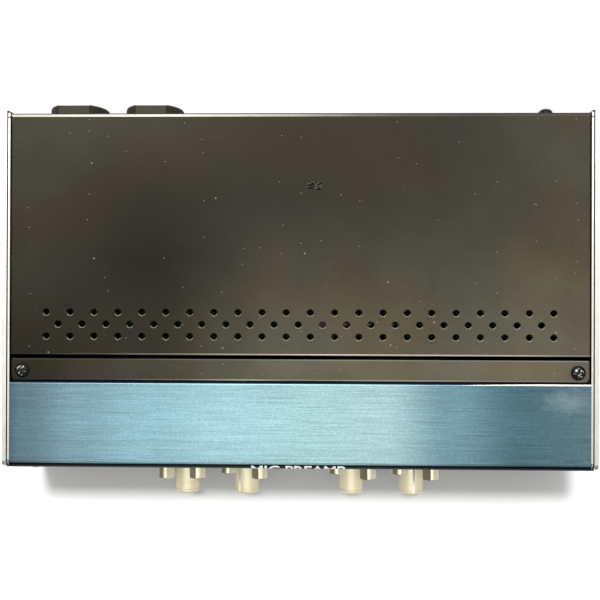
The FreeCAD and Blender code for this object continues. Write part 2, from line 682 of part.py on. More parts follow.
def knob_marks():
    """The bore for the shaft, and the pointer's two grooves."""
    length = KNOB_BASE_Y - KNOB_END_Y
    rim = KNOB_R + OVER
    return [
        rod("z", (0, 0), SHAFT_R + PRESS_FIT, -OVER, KNOB_BORE_DEPTH),
        box(-POINTER_HALF, POINTER_HALF, KNOB_R - POINTER_DEPTH, rim, -OVER, length + OVER),
        box(-POINTER_HALF, POINTER_HALF, FACE_MARK[0], rim, length - FACE_MARK[1], length + OVER),
    ]


def pot_shaft(x):
    """Shaft with a flat, from inside the pot to inside the knob."""
    shaft = rod("y", (x, KNOB_Z), SHAFT_R, KNOB_BASE_Y - SHAFT_IN[0], TRAY_FRONT_IN + SHAFT_IN[1])
    half = SHAFT_R + OVER
    flat = box(x - half, x + half, KNOB_BASE_Y - SHAFT_IN[0] - OVER, KNOB_BASE_Y - SHAFT_FLAT[0],
               KNOB_Z + SHAFT_FLAT[1], KNOB_Z + half)
    return shaft.cut(flat)


def potentiometer(x):
    can = extrude_y(rectangle(x - POT_HALF, x + POT_HALF, KNOB_Z - POT_HALF, CONTROL_BOARD_Z[0]),
                    TRAY_FRONT_IN, TRAY_FRONT_IN + POT_DEPTH)
    bush = rod("y", (x, KNOB_Z), POT_BUSH_R, TRAY_FRONT_Y - NUT_T, TRAY_FRONT_IN)
    bore = rod("y", (x, KNOB_Z), SHAFT_R + SHAFT_GAP, TRAY_FRONT_Y - NUT_T - OVER,
               TRAY_FRONT_IN + SHAFT_IN[1] + SHAFT_END_GAP)
    return union([can, bush]).cut(bore)


def pot_nut(x):
    plate = extrude_y(hexagon(x, KNOB_Z, POT_NUT_FLATS), TRAY_FRONT_Y - NUT_T, TRAY_FRONT_Y)
    return plate.cut(rod("y", (x, KNOB_Z), POT_BUSH_R + NUT_GAP, TRAY_FRONT_Y - NUT_T - OVER, TRAY_FRONT_IN))


CAP_LENGTH = 9.2
CAP_EDGE_R = 0.5
RIB_HALF = 0.45
RIB_RISE = 0.15                      # the rib stands this far above the round of the cap
RIB_EDGE_R = 0.1
RIB_SET_BACK = 0.35
FLAT_START = (0.5, 3.0)              # x and z of the flat's top edge, from the cap's axis
FLAT_SLOPE = 0.2
FLAT_RISE = 0.6
FLAT_END = 2.5                       # the flat stops this far short of the cap's hidden end
CAP_SOCKET = 5.2
PLUNGER_IN = 5.0
PLUNGER_OUT = 10.0
PLUNGER_GAP = 0.08
SWITCH_FRONT = 4.0                   # behind the tray's front wall
SWITCH_DEPTH = 12.0
SWITCH_HALF = 3.7
SWITCH_BORE = 10.5


def button(x, resting):
    """Cap and switch plunger. The cap is round with a rib along its top and a flat towards its knob."""
    start = BUTTON_OUT_Y + resting
    end = start + CAP_LENGTH
    nearest = min((knob_x for _, knob_x, _ in KNOBS), key=lambda knob_x: abs(knob_x - x))
    inward = 1 if nearest > x else -1
    cap = rod("y", (x, BUTTON_Z), BUTTON_R, start, end)
    cap = cap.makeFillet(CAP_EDGE_R, edges_at_y(cap, start))
    rib_top = BUTTON_Z + BUTTON_R + RIB_RISE
    rib = rectangle(x - RIB_HALF, x + RIB_HALF, BUTTON_Z, rib_top, RIB_EDGE_R)
    rib = extrude_y(rib, start + RIB_SET_BACK, end)
    cap = union([cap.cut(button_flat(x, inward, start - OVER, end - FLAT_END)), rib])
    cap = cap.cut(rod("y", (x, BUTTON_Z), PLUNGER_R + PRESS_FIT, end - CAP_SOCKET, end + OVER))
    return [cap, rod("y", (x, BUTTON_Z), PLUNGER_R, end - PLUNGER_IN, end + PLUNGER_OUT)]


def button_flat(x, inward, start, end):
    """What the flat takes off: from beside the rib down to the side that faces the knob."""
    far = BUTTON_R + OVER
    near_x, far_x = x + inward * FLAT_START[0], x + inward * far
    near_z, far_z = BUTTON_Z + FLAT_START[1], BUTTON_Z + FLAT_RISE - far * FLAT_SLOPE
    above = BUTTON_Z + far
    section = [(near_x, near_z, 0), (far_x, far_z, 0), (far_x, above, 0), (near_x, above, 0)]
    return extrude_y(section, start, end)


def push_switch(x):
    front = TRAY_FRONT_IN + SWITCH_FRONT
    body = extrude_y(rectangle(x - SWITCH_HALF, x + SWITCH_HALF, CONTROL_BOARD_Z[1], BUTTON_Z + SWITCH_HALF),
                     front, front + SWITCH_DEPTH)
    return body.cut(rod("y", (x, BUTTON_Z), PLUNGER_R + PLUNGER_GAP, front - OVER, front + SWITCH_BORE))


# ================================================================ meters
BEZEL_R = 2.2
METER_CASE_R = 1.5
METER_BACK_T = 1.2
MASK_INSET = 1.0                     # the mask runs this far into the case's walls
MASK_TOP = 4.0                       # above the case's lower inner edge
MASK_HUMP = (7.0, 4.0, 4.2)          # hump over the pivot: half width at foot and top, rise above the pivot
MASK_R = 2.0
MASK_Y = (METER_FRONT_Y + 2.0, SCALE_Y - 2.4)
POST_R = 0.6
POST_FRONT = 2.6                     # the post stands this far in front of the scale
NEEDLE_GAP = 0.05
SCALE_T = 0.6
SCALE_GAP = 0.1
LENS_GAP = 0.05
LENS_Y = (METER_FRONT_Y + 0.4, METER_FRONT_Y + 1.8)
NEEDLE_Y = (SCALE_Y - 1.6, SCALE_Y - 1.1)
NEEDLE_HALF = (0.45, 0.18)           # half width at the hub and at the tip
TAIL_HALF = 0.5
TAIL_LENGTH = 2.2
HUB_R = 1.6
HUB_Y = (SCALE_Y - 2.1, SCALE_Y - 0.4)
LAMP_LENGTH = 6.7
LAMP_NOSE_R = 0.9
LAMP_BACK = 6.0                      # the lamp starts this far behind the fascia's face


def meter_case(side):
    """Open-fronted case with a mask in front of the needle's pivot and a post the needle turns on."""
    x, w, h, t = side * METER_X, METER_W / 2, METER_H / 2, METER_WALL
    bezel = extrude_y(centred(x, METER_Z, w + METER_BEZEL, h + METER_BEZEL, BEZEL_R), METER_FRONT_Y, FRONT_Y)
    shell = union([bezel, extrude_y(centred(x, METER_Z, w, h, METER_CASE_R), FRONT_Y, METER_BACK_Y)])
    hollow = extrude_y(centred(x, METER_Z, w - t, h - t), METER_FRONT_Y - OVER, METER_BACK_Y - METER_BACK_T)
    post = rod("y", (x, PIVOT_Z), POST_R, SCALE_Y - POST_FRONT, METER_BACK_Y - METER_BACK_T / 2)
    return union([shell.cut(hollow), meter_mask(x), post])


def meter_mask(x):
    """Plate across the foot of the window, with a hump that hides the pivot."""
    w, bottom = METER_W / 2 - MASK_INSET, METER_Z - METER_H / 2
    foot_half, top_half, rise = MASK_HUMP
    floor, top, hump = bottom + MASK_INSET, bottom + MASK_TOP, PIVOT_Z + rise
    return extrude_y(
        [(x - w, floor, 0), (x + w, floor, 0), (x + w, top, 0), (x + foot_half, top, MASK_R),
         (x + top_half, hump, MASK_R), (x - top_half, hump, MASK_R), (x - foot_half, top, MASK_R),
         (x - w, top, 0)],
        *MASK_Y)


def meter_scale(side):
    x, inset = side * METER_X, METER_WALL + SCALE_GAP
    back = SCALE_Y + SCALE_T
    card = extrude_y(centred(x, METER_Z, METER_W / 2 - inset, METER_H / 2 - inset), SCALE_Y, back)
    return card.cut(rod("y", (x, PIVOT_Z), POST_R + NEEDLE_GAP, SCALE_Y - OVER, back + OVER))


def meter_lens(side):
    inset = METER_WALL + LENS_GAP
    return extrude_y(centred(side * METER_X, METER_Z, METER_W / 2 - inset, METER_H / 2 - inset), *LENS_Y)


def meter_needle(side):
    """Hub, tapered pointer and short counterweight, built upright and then swung to rest."""
    x, tip = side * METER_X, PIVOT_Z + NEEDLE_LENGTH
    wide, slim = NEEDLE_HALF
    taper = [(x - wide, PIVOT_Z, 0), (x + wide, PIVOT_Z, 0), (x + slim, tip, 0), (x - slim, tip, 0)]
    blade = extrude_y(taper, *NEEDLE_Y)
    tail = box(x - TAIL_HALF, x + TAIL_HALF, *NEEDLE_Y, PIVOT_Z - TAIL_LENGTH, PIVOT_Z)
    hub = rod("y", (x, PIVOT_Z), HUB_R, *HUB_Y)
    bore = rod("y", (x, PIVOT_Z), POST_R + NEEDLE_GAP, HUB_Y[0] - OVER, HUB_Y[1] + OVER)
    needle = union([blade, tail, hub]).cut(bore)
    needle.rotate(V(x, 0, PIVOT_Z), V(0, 1, 0), NEEDLE_REST)
    return needle


def lamp(side):
    body = turned([(0, 0, 0), (LAMP_R, 0, 0), (LAMP_R, LAMP_LENGTH, LAMP_NOSE_R), (0, LAMP_LENGTH, 0)])
    return stand(body, V(side * LAMP_X, FRONT_Y + LAMP_BACK, LAMP_Z), V(0, -1, 0))


# ================================================================ rear connectors
FLANGE_T = 2.5
FLANGE_R = 2.0
SOCKET_HALF = 12.0                   # half width of the body behind a flange
SOCKET_FRONT_Y = 44.0
SOCKET_TOP = 12.5                    # above the socket's axis
PILOT_R = 1.4
PILOT_DEPTH = 12.0
CONTACT_ANGLES = (-60.0, 60.0, 180.0)
COMBO_EDGE_R = 1.1
COMBO_CONTACT = (5.75, 1.3, 14.0)    # contacts' circle, hole radius and depth
COMBO_RING = (9.5, 8.1, 1.2)         # ring cut in the face: outer and inner radius, depth
COMBO_BORE_DEPTH = 29.0
NOTCH_FLOOR = 6.2                    # above the socket's axis
NOTCH_GAP = 0.15
TAB_BOTTOM = 7.8                     # above the socket's axis
TAB_ENDS = (0.2, 0.2)                # short of the nose's face, and clear of the panel
TAB_EDGE = (0.3, 0.8)                # lower and upper radius of the tab's outer end


def d_flange(x):
    """Flange behind the panel, the socket's body, and pilot holes for the two screws."""
    outline_xz = centred(x, SOCKET_Z, FLANGE[0] / 2, FLANGE[1] / 2, FLANGE_R)
    plate = extrude_y(outline_xz, PANEL_Y[0] - FLANGE_T, PANEL_Y[0])
    body = box(x - SOCKET_HALF, x + SOCKET_HALF, SOCKET_FRONT_Y, PANEL_Y[0] - FLANGE_T / 2, BOARD_TOP,
               SOCKET_Z + SOCKET_TOP)
    pilots = [rod("y", place, PILOT_R, PANEL_Y[0] - PILOT_DEPTH, PANEL_Y[0] + OVER)
              for place in flange_screw_places() if abs(place[0] - x) < SOCKET_HALF]
    return cut(union([plate, body]), pilots)


def contact_places(x, radius):
    return [(x + radius * math.sin(math.radians(a)), SOCKET_Z + radius * math.cos(math.radians(a)))
            for a in CONTACT_ANGLES]


def nose(x, length, edge_r):
    """The round part of a socket that stands through the panel."""
    body = turned([(0, 0, 0), (NOSE_R, 0, 0), (NOSE_R, length, edge_r), (0, length, 0)])
    return stand(body, V(x, PANEL_Y[0], SOCKET_Z), V(0, 1, 0))


def combo_jack(x):
    """Three-contact socket with a jack bore in the middle and a notch on top for its release tab."""
    outside = COMBO_NOSE_Y + OVER
    circle, contact_r, contact_depth = COMBO_CONTACT
    tools = [combo_ring(x), rod("y", (x, SOCKET_Z), JACK_BORE_R, COMBO_NOSE_Y - COMBO_BORE_DEPTH, outside)]
    start = COMBO_NOSE_Y - contact_depth
    tools += [rod("y", place, contact_r, start, outside) for place in contact_places(x, circle)]
    half = TAB_HALF + NOTCH_GAP
    floor, top = SOCKET_Z + NOTCH_FLOOR, SOCKET_Z + NOSE_R + OVER
    tools.append(box(x - half, x + half, PANEL_Y[0] + SLIP, outside, floor, top))
    return cut(union([d_flange(x), nose(x, COMBO_NOSE_Y - PANEL_Y[0], COMBO_EDGE_R)]), tools)


def combo_ring(x):
    """The annular groove in the face, deep outside a raised middle."""
    outer_r, inner_r, face_depth = COMBO_RING
    start = COMBO_NOSE_Y - COMBO_CONTACT[2] - OVER
    ring = rod("y", (x, SOCKET_Z), outer_r, start, COMBO_NOSE_Y + OVER)
    return ring.cut(rod("y", (x, SOCKET_Z), inner_r, start - OVER, COMBO_NOSE_Y - face_depth))


def combo_latch(x):
    """Flat-topped release tab in the notch on top of the nose."""
    outer, inner = COMBO_NOSE_Y - TAB_ENDS[0], PANEL_Y[0] + TAB_ENDS[1]
    bottom, top = SOCKET_Z + TAB_BOTTOM, SOCKET_Z + TAB_TOP
    profile = [(outer, bottom, TAB_EDGE[0]), (outer, top, TAB_EDGE[1]), (inner, top, 0), (inner, bottom, 0)]
    return extrude_x(profile, x - TAB_HALF, x + TAB_HALF)


OUTPUT_NOSE = (3.2, 0.8)             # length from the panel's inner face, edge radius
CUP_R = 9.6
CUP_DEPTH = 13.0                     # from the panel's inner face
KEY = (1.4, 8.7, 10.0)               # key in the cup: half width, and its two heights above the axis
KEY_SET_BACK = 1.0
PIN_CIRCLE = 4.9
PIN_R = 1.15
PIN_SEAT_R = 1.17
PIN_SEAT_DEPTH = 18.0                # from the panel's inner face
PIN_TIP_Y = REAR_Y - 2.2
PIN_TIP_R = 0.7


def pin_output(x):
    """Recessed three-pin male output."""
    length, edge_r = OUTPUT_NOSE
    face, cup_floor = PANEL_Y[0] + length, PANEL_Y[0] - CUP_DEPTH
    key_half, key_low, key_high = KEY
    cup = rod("y", (x, SOCKET_Z), CUP_R, cup_floor, face + OVER)
    key_z = (SOCKET_Z + key_low, SOCKET_Z + key_high)
    key = box(x - key_half, x + key_half, cup_floor, face - KEY_SET_BACK, *key_z)
    seats = [rod("y", place, PIN_SEAT_R, PANEL_Y[0] - PIN_SEAT_DEPTH, cup_floor + OVER)
             for place in contact_places(x, PIN_CIRCLE)]
    return cut(union([union([d_flange(x), nose(x, length, edge_r)]).cut(cup), key]), seats)


def output_pins():
    pins = []
    for x in OUTPUT_X:
        for place in contact_places(x, PIN_CIRCLE):
            pin = rod("y", place, PIN_R, PANEL_Y[0] - PIN_SEAT_DEPTH, PIN_TIP_Y)
            pins.append(pin.makeFillet(PIN_TIP_R, edges_at_y(pin, PIN_TIP_Y)))
    return pins


JACK_BODY = (7.6, 8.4)               # half width, height above the axis
JACK_BODY_Y = 46.0
JACK_BORE_Y = 49.0
JACK_BUSH_R = 4.75
JACK_END_Y = REAR_Y + 2.9
JACK_NUT_FLATS = 13.0
JACK_NUT_T = 2.2
JACK_NUT_R = (8.6, 6.4)              # the nut's corners are turned down to this cone


def jack_socket(x):
    half, high = JACK_BODY
    body = box(x - half, x + half, JACK_BODY_Y, PANEL_Y[0], BOARD_TOP, JACK_Z + high)
    bush = rod("y", (x, JACK_Z), JACK_BUSH_R, PANEL_Y[0], JACK_END_Y)
    return union([body, bush]).cut(rod("y", (x, JACK_Z), JACK_BORE_R, JACK_BORE_Y, JACK_END_Y + OVER))


def jack_nut(x):
    end = PANEL_Y[1] + JACK_NUT_T
    plate = extrude_y(hexagon(x, JACK_Z, JACK_NUT_FLATS), PANEL_Y[1], end)
    chamfer = stand(Part.makeCone(*JACK_NUT_R, JACK_NUT_T), V(x, PANEL_Y[1], JACK_Z), V(0, 1, 0))
    bore = rod("y", (x, JACK_Z), JACK_BUSH_R + NUT_GAP, PANEL_Y[1] - OVER, end + OVER)
    return plate.common(chamfer).cut(bore)


INLET_HALF = 5.0
INLET_BODY_Y = 54.0
INLET_NOSE_R = 4.0
INLET_NOSE_OUT = 0.6                 # beyond the panel's face
INLET_BORE_R = 3.1
INLET_BORE_Y = 59.0
INLET_PIN_R = 1.0
INLET_PIN_Y = (56.2, PANEL_Y[1] - 0.8)
INLET_SEAT_Y = 56.0


def power_inlet():
    """Barrel socket and its centre pin."""
    at, half = (INLET_X, INLET_Z), INLET_HALF
    body = box(INLET_X - half, INLET_X + half, INLET_BODY_Y, PANEL_Y[0], BOARD_TOP, INLET_Z + half)
    socket = union([body, rod("y", at, INLET_NOSE_R, PANEL_Y[0], PANEL_Y[1] + INLET_NOSE_OUT)])
    bore = rod("y", at, INLET_BORE_R, INLET_BORE_Y, REAR_Y + OVER)
    seat = rod("y", at, INLET_PIN_R + PRESS_FIT, INLET_SEAT_Y, INLET_BORE_Y + OVER)
    return [cut(socket, [bore, seat]), rod("y", at, INLET_PIN_R, *INLET_PIN_Y)]


ROCKER_Y = PANEL_Y[1] - 1.6          # the rocker's pivot axis
ROCKER_TILT = 9.0
ROCKER_HALF = (5.0, 8.0)             # half width and half height
ROCKER_BORE_R = 0.86
ROCKER_HEEL = (3.0, 4.0)             # the heel's depth below the axis and half height
ROCKER_NECK = 0.5
ROCKER_FACE_Y = PANEL_Y[1] + 2.2
ROCKER_VALLEY = (0.7, -0.5)          # the faces' ends and middle, from that plane
ROCKER_CORNERS = (1.0, 0.4, 0.6, 6.0)
SWITCH_BEZEL = (7.6, 10.6)           # half width and half height
SWITCH_BEZEL_T = 2.0
SWITCH_BEZEL_R = 1.2
SWITCH_BODY = (6.4, 9.5)
SWITCH_BODY_Y = 52.0
WELL = (5.2, 8.9)
WELL_DEPTH = 8.0                     # below the pivot axis
TRUNNION_R = 0.8
TRUNNION_X = (4.4, 5.3)              # the stubs the rocker turns on


def power_switch_frame():
    """Bezel and body with a well, and two stubs for the rocker to turn on."""
    at = (SWITCH_X, SWITCH_Z)
    face = PANEL_Y[1] + SWITCH_BEZEL_T
    bezel = extrude_y(centred(*at, *SWITCH_BEZEL, SWITCH_BEZEL_R), PANEL_Y[1], face)
    body = extrude_y(centred(*at, *SWITCH_BODY), SWITCH_BODY_Y, PANEL_Y[1])
    well = extrude_y(centred(*at, *WELL), ROCKER_Y - WELL_DEPTH, face + OVER)
    near, far = TRUNNION_X
    stubs = [rod("x", (ROCKER_Y, SWITCH_Z), TRUNNION_R, *span)
             for span in ((SWITCH_X - far, SWITCH_X - near), (SWITCH_X + near, SWITCH_X + far))]
    return union([union([bezel, body]).cut(well), *stubs])


def power_rocker():
    """Rocker with two faces that meet in a shallow valley, tilted to its off side."""
    half_x, half_z = ROCKER_HALF
    heel_y, heel_z = ROCKER_Y - ROCKER_HEEL[0], ROCKER_HEEL[1]
    neck = ROCKER_Y + ROCKER_NECK
    end, valley = (ROCKER_FACE_Y + rise for rise in ROCKER_VALLEY)
    heel_r, neck_r, end_r, valley_r = ROCKER_CORNERS
    low, high = SWITCH_Z - half_z, SWITCH_Z + half_z
    body = extrude_x(
        [(heel_y, SWITCH_Z - heel_z, heel_r), (heel_y, SWITCH_Z + heel_z, heel_r), (neck, high, neck_r),
         (end, high, end_r), (valley, SWITCH_Z, valley_r), (end, low, end_r), (neck, low, neck_r)],
        SWITCH_X - half_x, SWITCH_X + half_x)
    past = half_x + OVER
    body = body.cut(rod("x", (ROCKER_Y, SWITCH_Z), ROCKER_BORE_R, SWITCH_X - past, SWITCH_X + past))
    body.rotate(V(0, ROCKER_Y, SWITCH_Z), V(1, 0, 0), -ROCKER_TILT)
    return body


# ================================================================ inside
MAIN_BOARD = (-108.0, 108.0, -36.0, 60.0, 2.0)      # x, y and corner radius
CONTROL_BOARD_HALF = 57.0
CONTROL_BOARD_Y = (TRAY_FRONT_IN + 0.5, -40.0)
CONTROL_BOARD_R = 1.0
STANDOFF_FLATS = 5.5


def main_board():
    holes = [rod("z", place, CLEAR_R, BOARD_Z[0] - OVER, BOARD_Z[1] + OVER) for place in STANDOFFS]
    return cut(extrude_z(rectangle(*MAIN_BOARD), *BOARD_Z), holes)


def control_board():
    plan = rectangle(-CONTROL_BOARD_HALF, CONTROL_BOARD_HALF, *CONTROL_BOARD_Y, CONTROL_BOARD_R)
    return extrude_z(plan, *CONTROL_BOARD_Z)


def standoff(x, y):
    nut = extrude_z(hexagon(x, y, STANDOFF_FLATS), FLOOR_TOP, BOARD_Z[0])
    return nut.cut(rod("z", (x, y), THREAD_R, FOOT_H, BOARD_TOP))


TUBE_BASE_X = 14.4
TUBE_LENGTH = 47.0
TUBE_EDGES = (1.5, 5.5)              # radius at the base and at the crown
TUBE_PIP = (1.2, 1.0, 4.0, 0.5, 0.8) # root and tip radius, length, root and tip rounding
TUBE_PINS = 9                        # on a circle divided in ten, one place left empty
TUBE_PIN_STEP = 36.0
TUBE_PIN_CIRCLE = 5.9
TUBE_PIN_R = 0.5
TUBE_PIN_Z = (-6.0, 0.5)
TUBE_HOLE_R = 0.55
TUBE_HOLE_X = (8.0, 15.0)
TUBE_DISC = (10.5, 7.6, 14.2)        # radius and ends of the socket's disc
TUBE_PLATE_X = (6.0, 7.6)
TUBE_PLATE_HALF = 12.0
TUBE_PLATE_TOP = TUBE_Z + 11.5


def tube_pin_places():
    angles = [math.radians(TUBE_PIN_STEP * (i + 1)) for i in range(TUBE_PINS)]
    return [(TUBE_PIN_CIRCLE * math.cos(a), TUBE_PIN_CIRCLE * math.sin(a)) for a in angles]


def vacuum_tube():
    """Nine-pin miniature tube lying along X: glass envelope with a pip, and its pins in the socket."""
    root_r, tip_r, pip, root_round, tip_round = TUBE_PIP
    glass = turned([(0, 0, 0), (TUBE_R, 0, TUBE_EDGES[0]), (TUBE_R, TUBE_LENGTH, TUBE_EDGES[1]),
                    (root_r, TUBE_LENGTH, root_round), (tip_r, TUBE_LENGTH + pip, tip_round),
                    (0, TUBE_LENGTH + pip, 0)])
    pins = [rod("z", place, TUBE_PIN_R, *TUBE_PIN_Z) for place in tube_pin_places()]
    return stand(union([glass, *pins]), V(TUBE_BASE_X, TUBE_Y, TUBE_Z), V(1, 0, 0))


def tube_socket():
    r, start, end = TUBE_DISC
    disc = rod("x", (TUBE_Y, TUBE_Z), r, start, end)
    plate = box(*TUBE_PLATE_X, TUBE_Y - TUBE_PLATE_HALF, TUBE_Y + TUBE_PLATE_HALF, BOARD_TOP, TUBE_PLATE_TOP)
    lying = FreeCAD.Rotation(V(0, 0, 1), V(1, 0, 0))
    holes = []
    for place in tube_pin_places():
        at = lying.multVec(V(*place, 0))
        holes.append(rod("x", (TUBE_Y + at.y, TUBE_Z + at.z), TUBE_HOLE_R, *TUBE_HOLE_X))
    return cut(union([disc, plate]), holes)


CAPACITORS = (                       # x, y, radius, height
    (78.0, 14.0, 8.0, 26.0), (97.0, 14.0, 8.0, 26.0), (78.0, 32.5, 6.3, 21.0), (93.0, 32.5, 6.3, 21.0),
    (-44.0, 20.0, 5.0, 17.0), (-30.0, 20.0, 5.0, 17.0), (-98.0, 20.0, 5.0, 17.0), (-98.0, 4.0, 5.0, 17.0),
)
CAN_EDGE_R = 0.8
CAN_GROOVE = (0.25, 0.6, 2.6)        # the crimp's ring: beyond the can's radius, section radius, height
SINK_X = (22.0, 58.0)
SINK_Y = (12.0, 32.0)
SINK_BASE_T = 4.0
SINK_TOP = 20.0
FIN_COUNT = 8
FIN_PITCH = 5.0
FIN_T = 1.4
CHIP_X = (-75.0, -58.0, -40.0)
CHIP_Y = (-20.0, 2.0)
CHIP_HALF = (4.8, 3.2)
CHIP_H = 3.6
CABLE_X = (-8.0, 18.0)
CABLE_Y = (-44.0, -30.0)             # under the control board, and where it turns down
CABLE_T = 0.9
CABLE_BEND_R = 5.0


def capacitor(x, y, r, height):
    can = turned([(0, 0, 0), (r, 0, CAN_EDGE_R), (r, height, CAN_EDGE_R), (0, height, 0)])
    beyond, section_r, up = CAN_GROOVE
    groove = Part.makeTorus(r + beyond, section_r, V(0, 0, up), V(0, 0, 1))
    return stand(can.cut(groove), V(x, y, BOARD_TOP), V(0, 0, 1))


def heat_sink():
    """Extruded comb, fins towards the cover."""
    base_top = BOARD_TOP + SINK_BASE_T
    base = box(*SINK_X, *SINK_Y, BOARD_TOP, base_top)
    starts = [SINK_X[0] + FIN_PITCH * i for i in range(FIN_COUNT)]
    return union([base, *[box(x, x + FIN_T, *SINK_Y, base_top, BOARD_TOP + SINK_TOP) for x in starts]])


def chips():
    half_x, half_y = CHIP_HALF
    return [box(x - half_x, x + half_x, y - half_y, y + half_y, BOARD_TOP, BOARD_TOP + CHIP_H)
            for x in CHIP_X for y in CHIP_Y]


def ribbon_cable():
    """Flat cable that arches from the control board's rear edge down to the main board."""
    start, turn = CABLE_Y
    top, t, r = CONTROL_BOARD_Z[0], CABLE_T, CABLE_BEND_R
    profile = [(start, top - t, 0), (turn, top - t, r), (turn, BOARD_TOP, 0), (turn + t, BOARD_TOP, 0),
               (turn + t, top, r + t), (start, top, 0)]
    return extrude_x(profile, *CABLE_X)


CORE_X = (-20.0, 6.0)
CORE_Y = (10.0, 32.0)
CORE_H = 20.0
WINDOW_X = ((-16.0, -11.0), (-3.0, 2.0))
WINDOW_Z = (BOARD_TOP + 4.0, BOARD_TOP + 16.0)
COIL_GAP = 0.1
COIL_OUT = 3.5                       # the coil stands this far out of the core


def converter_transformer():
    """Ferrite core with a wound bobbin, for the tube's high voltage."""
    past = COIL_OUT + OVER
    windows = [box(*span, CORE_Y[0] - past, CORE_Y[1] + past, *WINDOW_Z) for span in WINDOW_X]
    core = cut(box(*CORE_X, *CORE_Y, BOARD_TOP, BOARD_TOP + CORE_H), windows)
    (left, post_left), (post_right, right) = WINDOW_X
    g = COIL_GAP
    coil = box(left + g, right - g, CORE_Y[0] - COIL_OUT, CORE_Y[1] + COIL_OUT, WINDOW_Z[0] + 2 * g,
               WINDOW_Z[1] - 2 * g)
    post = box(post_left - g, post_right + g, CORE_Y[0] - g, CORE_Y[1] + g, *WINDOW_Z)
    return [core, coil.cut(post).cut(core)]


# ================================================================ all nodes
def case_nodes():
    cheek = side_cheek()
    return {
        "chassis_tray": [chassis_tray()],
        "rear_panel": [rear_panel()],
        "top_cover": [top_cover()],
        "front_fascia": [front_fascia()],
        "retaining_strip": [retaining_strip()],
        "side_cheek_left": [mirrored(cheek)],
        "side_cheek_right": [cheek],
        "rubber_feet": [foot(*place) for place in FOOT_AT],
        "foot_screws": foot_screws(),
        "strip_screws": strip_screws(),
        "cover_screw": [cover_screw()],
        "cheek_screws": cheek_screws(),
        "panel_screws": panel_screws(),
    }


def front_nodes():
    nodes = {
        "potentiometers": [potentiometer(x) for _, x, _ in KNOBS],
        "pot_nuts": [pot_nut(x) for _, x, _ in KNOBS],
        "push_switches": [push_switch(x) for _, x, _ in buttons()],
        "meter_cases": [meter_case(side) for side in SIDES],
        "meter_scales": [meter_scale(side) for side in SIDES],
        "meter_lenses": [meter_lens(side) for side in SIDES],
        "meter_needle_left": [meter_needle(-1)],
        "meter_needle_right": [meter_needle(1)],
        "indicator_lamps": [lamp(side) for side in SIDES],
    }
    for number, (name, x, angle) in enumerate(KNOBS, 1):
        nodes[name] = [knob(x, angle)]
        nodes[f"pot_shaft_{number}"] = [pot_shaft(x)]
    for name, x, resting in buttons():
        nodes[name] = button(x, resting)
    return nodes


def rear_nodes():
    return {
        "combo_jacks": [combo_jack(x) for x in COMBO_X],
        "combo_latch_1": [combo_latch(COMBO_X[0])],
        "combo_latch_2": [combo_latch(COMBO_X[1])],
        "pin_outputs": [pin_output(x) for x in OUTPUT_X],
        "output_pins": output_pins(),
        "jack_sockets": [jack_socket(x) for x in JACK_X],
        "jack_nuts": [jack_nut(x) for x in JACK_X],
        "power_inlet": power_inlet(),
        "power_switch_frame": [power_switch_frame()],
        "power_rocker": [power_rocker()],
        "connector_screws": connector_screws(),
    }


def inside_nodes():
    return {
        "main_board": [main_board()],
        "control_board": [control_board()],
        "board_standoffs": [standoff(*place) for place in STANDOFFS],
        "board_screws": board_screws(),
        "vacuum_tube": [vacuum_tube()],
        "tube_socket": [tube_socket()],
        "filter_capacitors": [capacitor(*can) for can in CAPACITORS],
        "heat_sink": [heat_sink()],
        "amplifier_chips": chips(),
        "ribbon_cable": [ribbon_cable()],
        "converter_transformer": converter_transformer(),
    }


os.makedirs(OUT, exist_ok=True)
for nodes in (case_nodes(), front_nodes(), rear_nodes(), inside_nodes()):
    for name, shapes in nodes.items():
        save(name, shapes)
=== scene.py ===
"""Looks of the half-rack microphone preamp: finishes, prints, light and camera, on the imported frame."""

import json
import math

import bmesh
import bpy
from mathutils import Matrix, Vector


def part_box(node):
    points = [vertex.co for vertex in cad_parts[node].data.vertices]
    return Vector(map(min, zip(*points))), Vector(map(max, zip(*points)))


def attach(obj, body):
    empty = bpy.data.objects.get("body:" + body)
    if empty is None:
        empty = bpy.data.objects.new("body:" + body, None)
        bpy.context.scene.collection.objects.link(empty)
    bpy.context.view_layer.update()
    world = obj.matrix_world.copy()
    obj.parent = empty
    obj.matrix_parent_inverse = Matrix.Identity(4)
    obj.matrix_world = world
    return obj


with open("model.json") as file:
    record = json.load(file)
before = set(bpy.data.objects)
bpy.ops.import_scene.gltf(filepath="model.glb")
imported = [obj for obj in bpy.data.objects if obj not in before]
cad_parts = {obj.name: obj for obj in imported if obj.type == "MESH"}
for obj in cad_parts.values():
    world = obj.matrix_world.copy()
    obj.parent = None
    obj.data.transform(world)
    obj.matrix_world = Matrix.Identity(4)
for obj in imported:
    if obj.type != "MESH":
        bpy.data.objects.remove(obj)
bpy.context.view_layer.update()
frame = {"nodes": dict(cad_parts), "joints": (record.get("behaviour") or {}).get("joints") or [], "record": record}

MM = 0.001
NODES = frame["nodes"]
RECORD = frame["record"]
JOINTS = {joint["name"]: joint for joint in frame["joints"]}

FASCIA_LOW, FASCIA_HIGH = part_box("front_fascia")
FRONT_Y = FASCIA_LOW.y                       # front face of the fascia
TOP_Z = FASCIA_HIGH.z
REAR_FACE_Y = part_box("rear_panel")[1].y      # outer face of the rear panel
CASE_Y = FRONT_Y + 70.5 * MM                 # middle of the case's depth
HALF_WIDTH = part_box("side_cheek_right")[1].x / MM
BEND_R = 2.9 * MM                            # outer radius where the fascia turns down
INK = 0.03 * MM                              # how far a print stands off its surface
WORD_ROW = 0.3 * MM                          # printed words are cut into rows of this height
KNOBS = ("gain_knob_1", "drive_knob_1", "gain_knob_2", "drive_knob_2")
SWEEP = 150                                  # degrees a knob turns each way from straight up


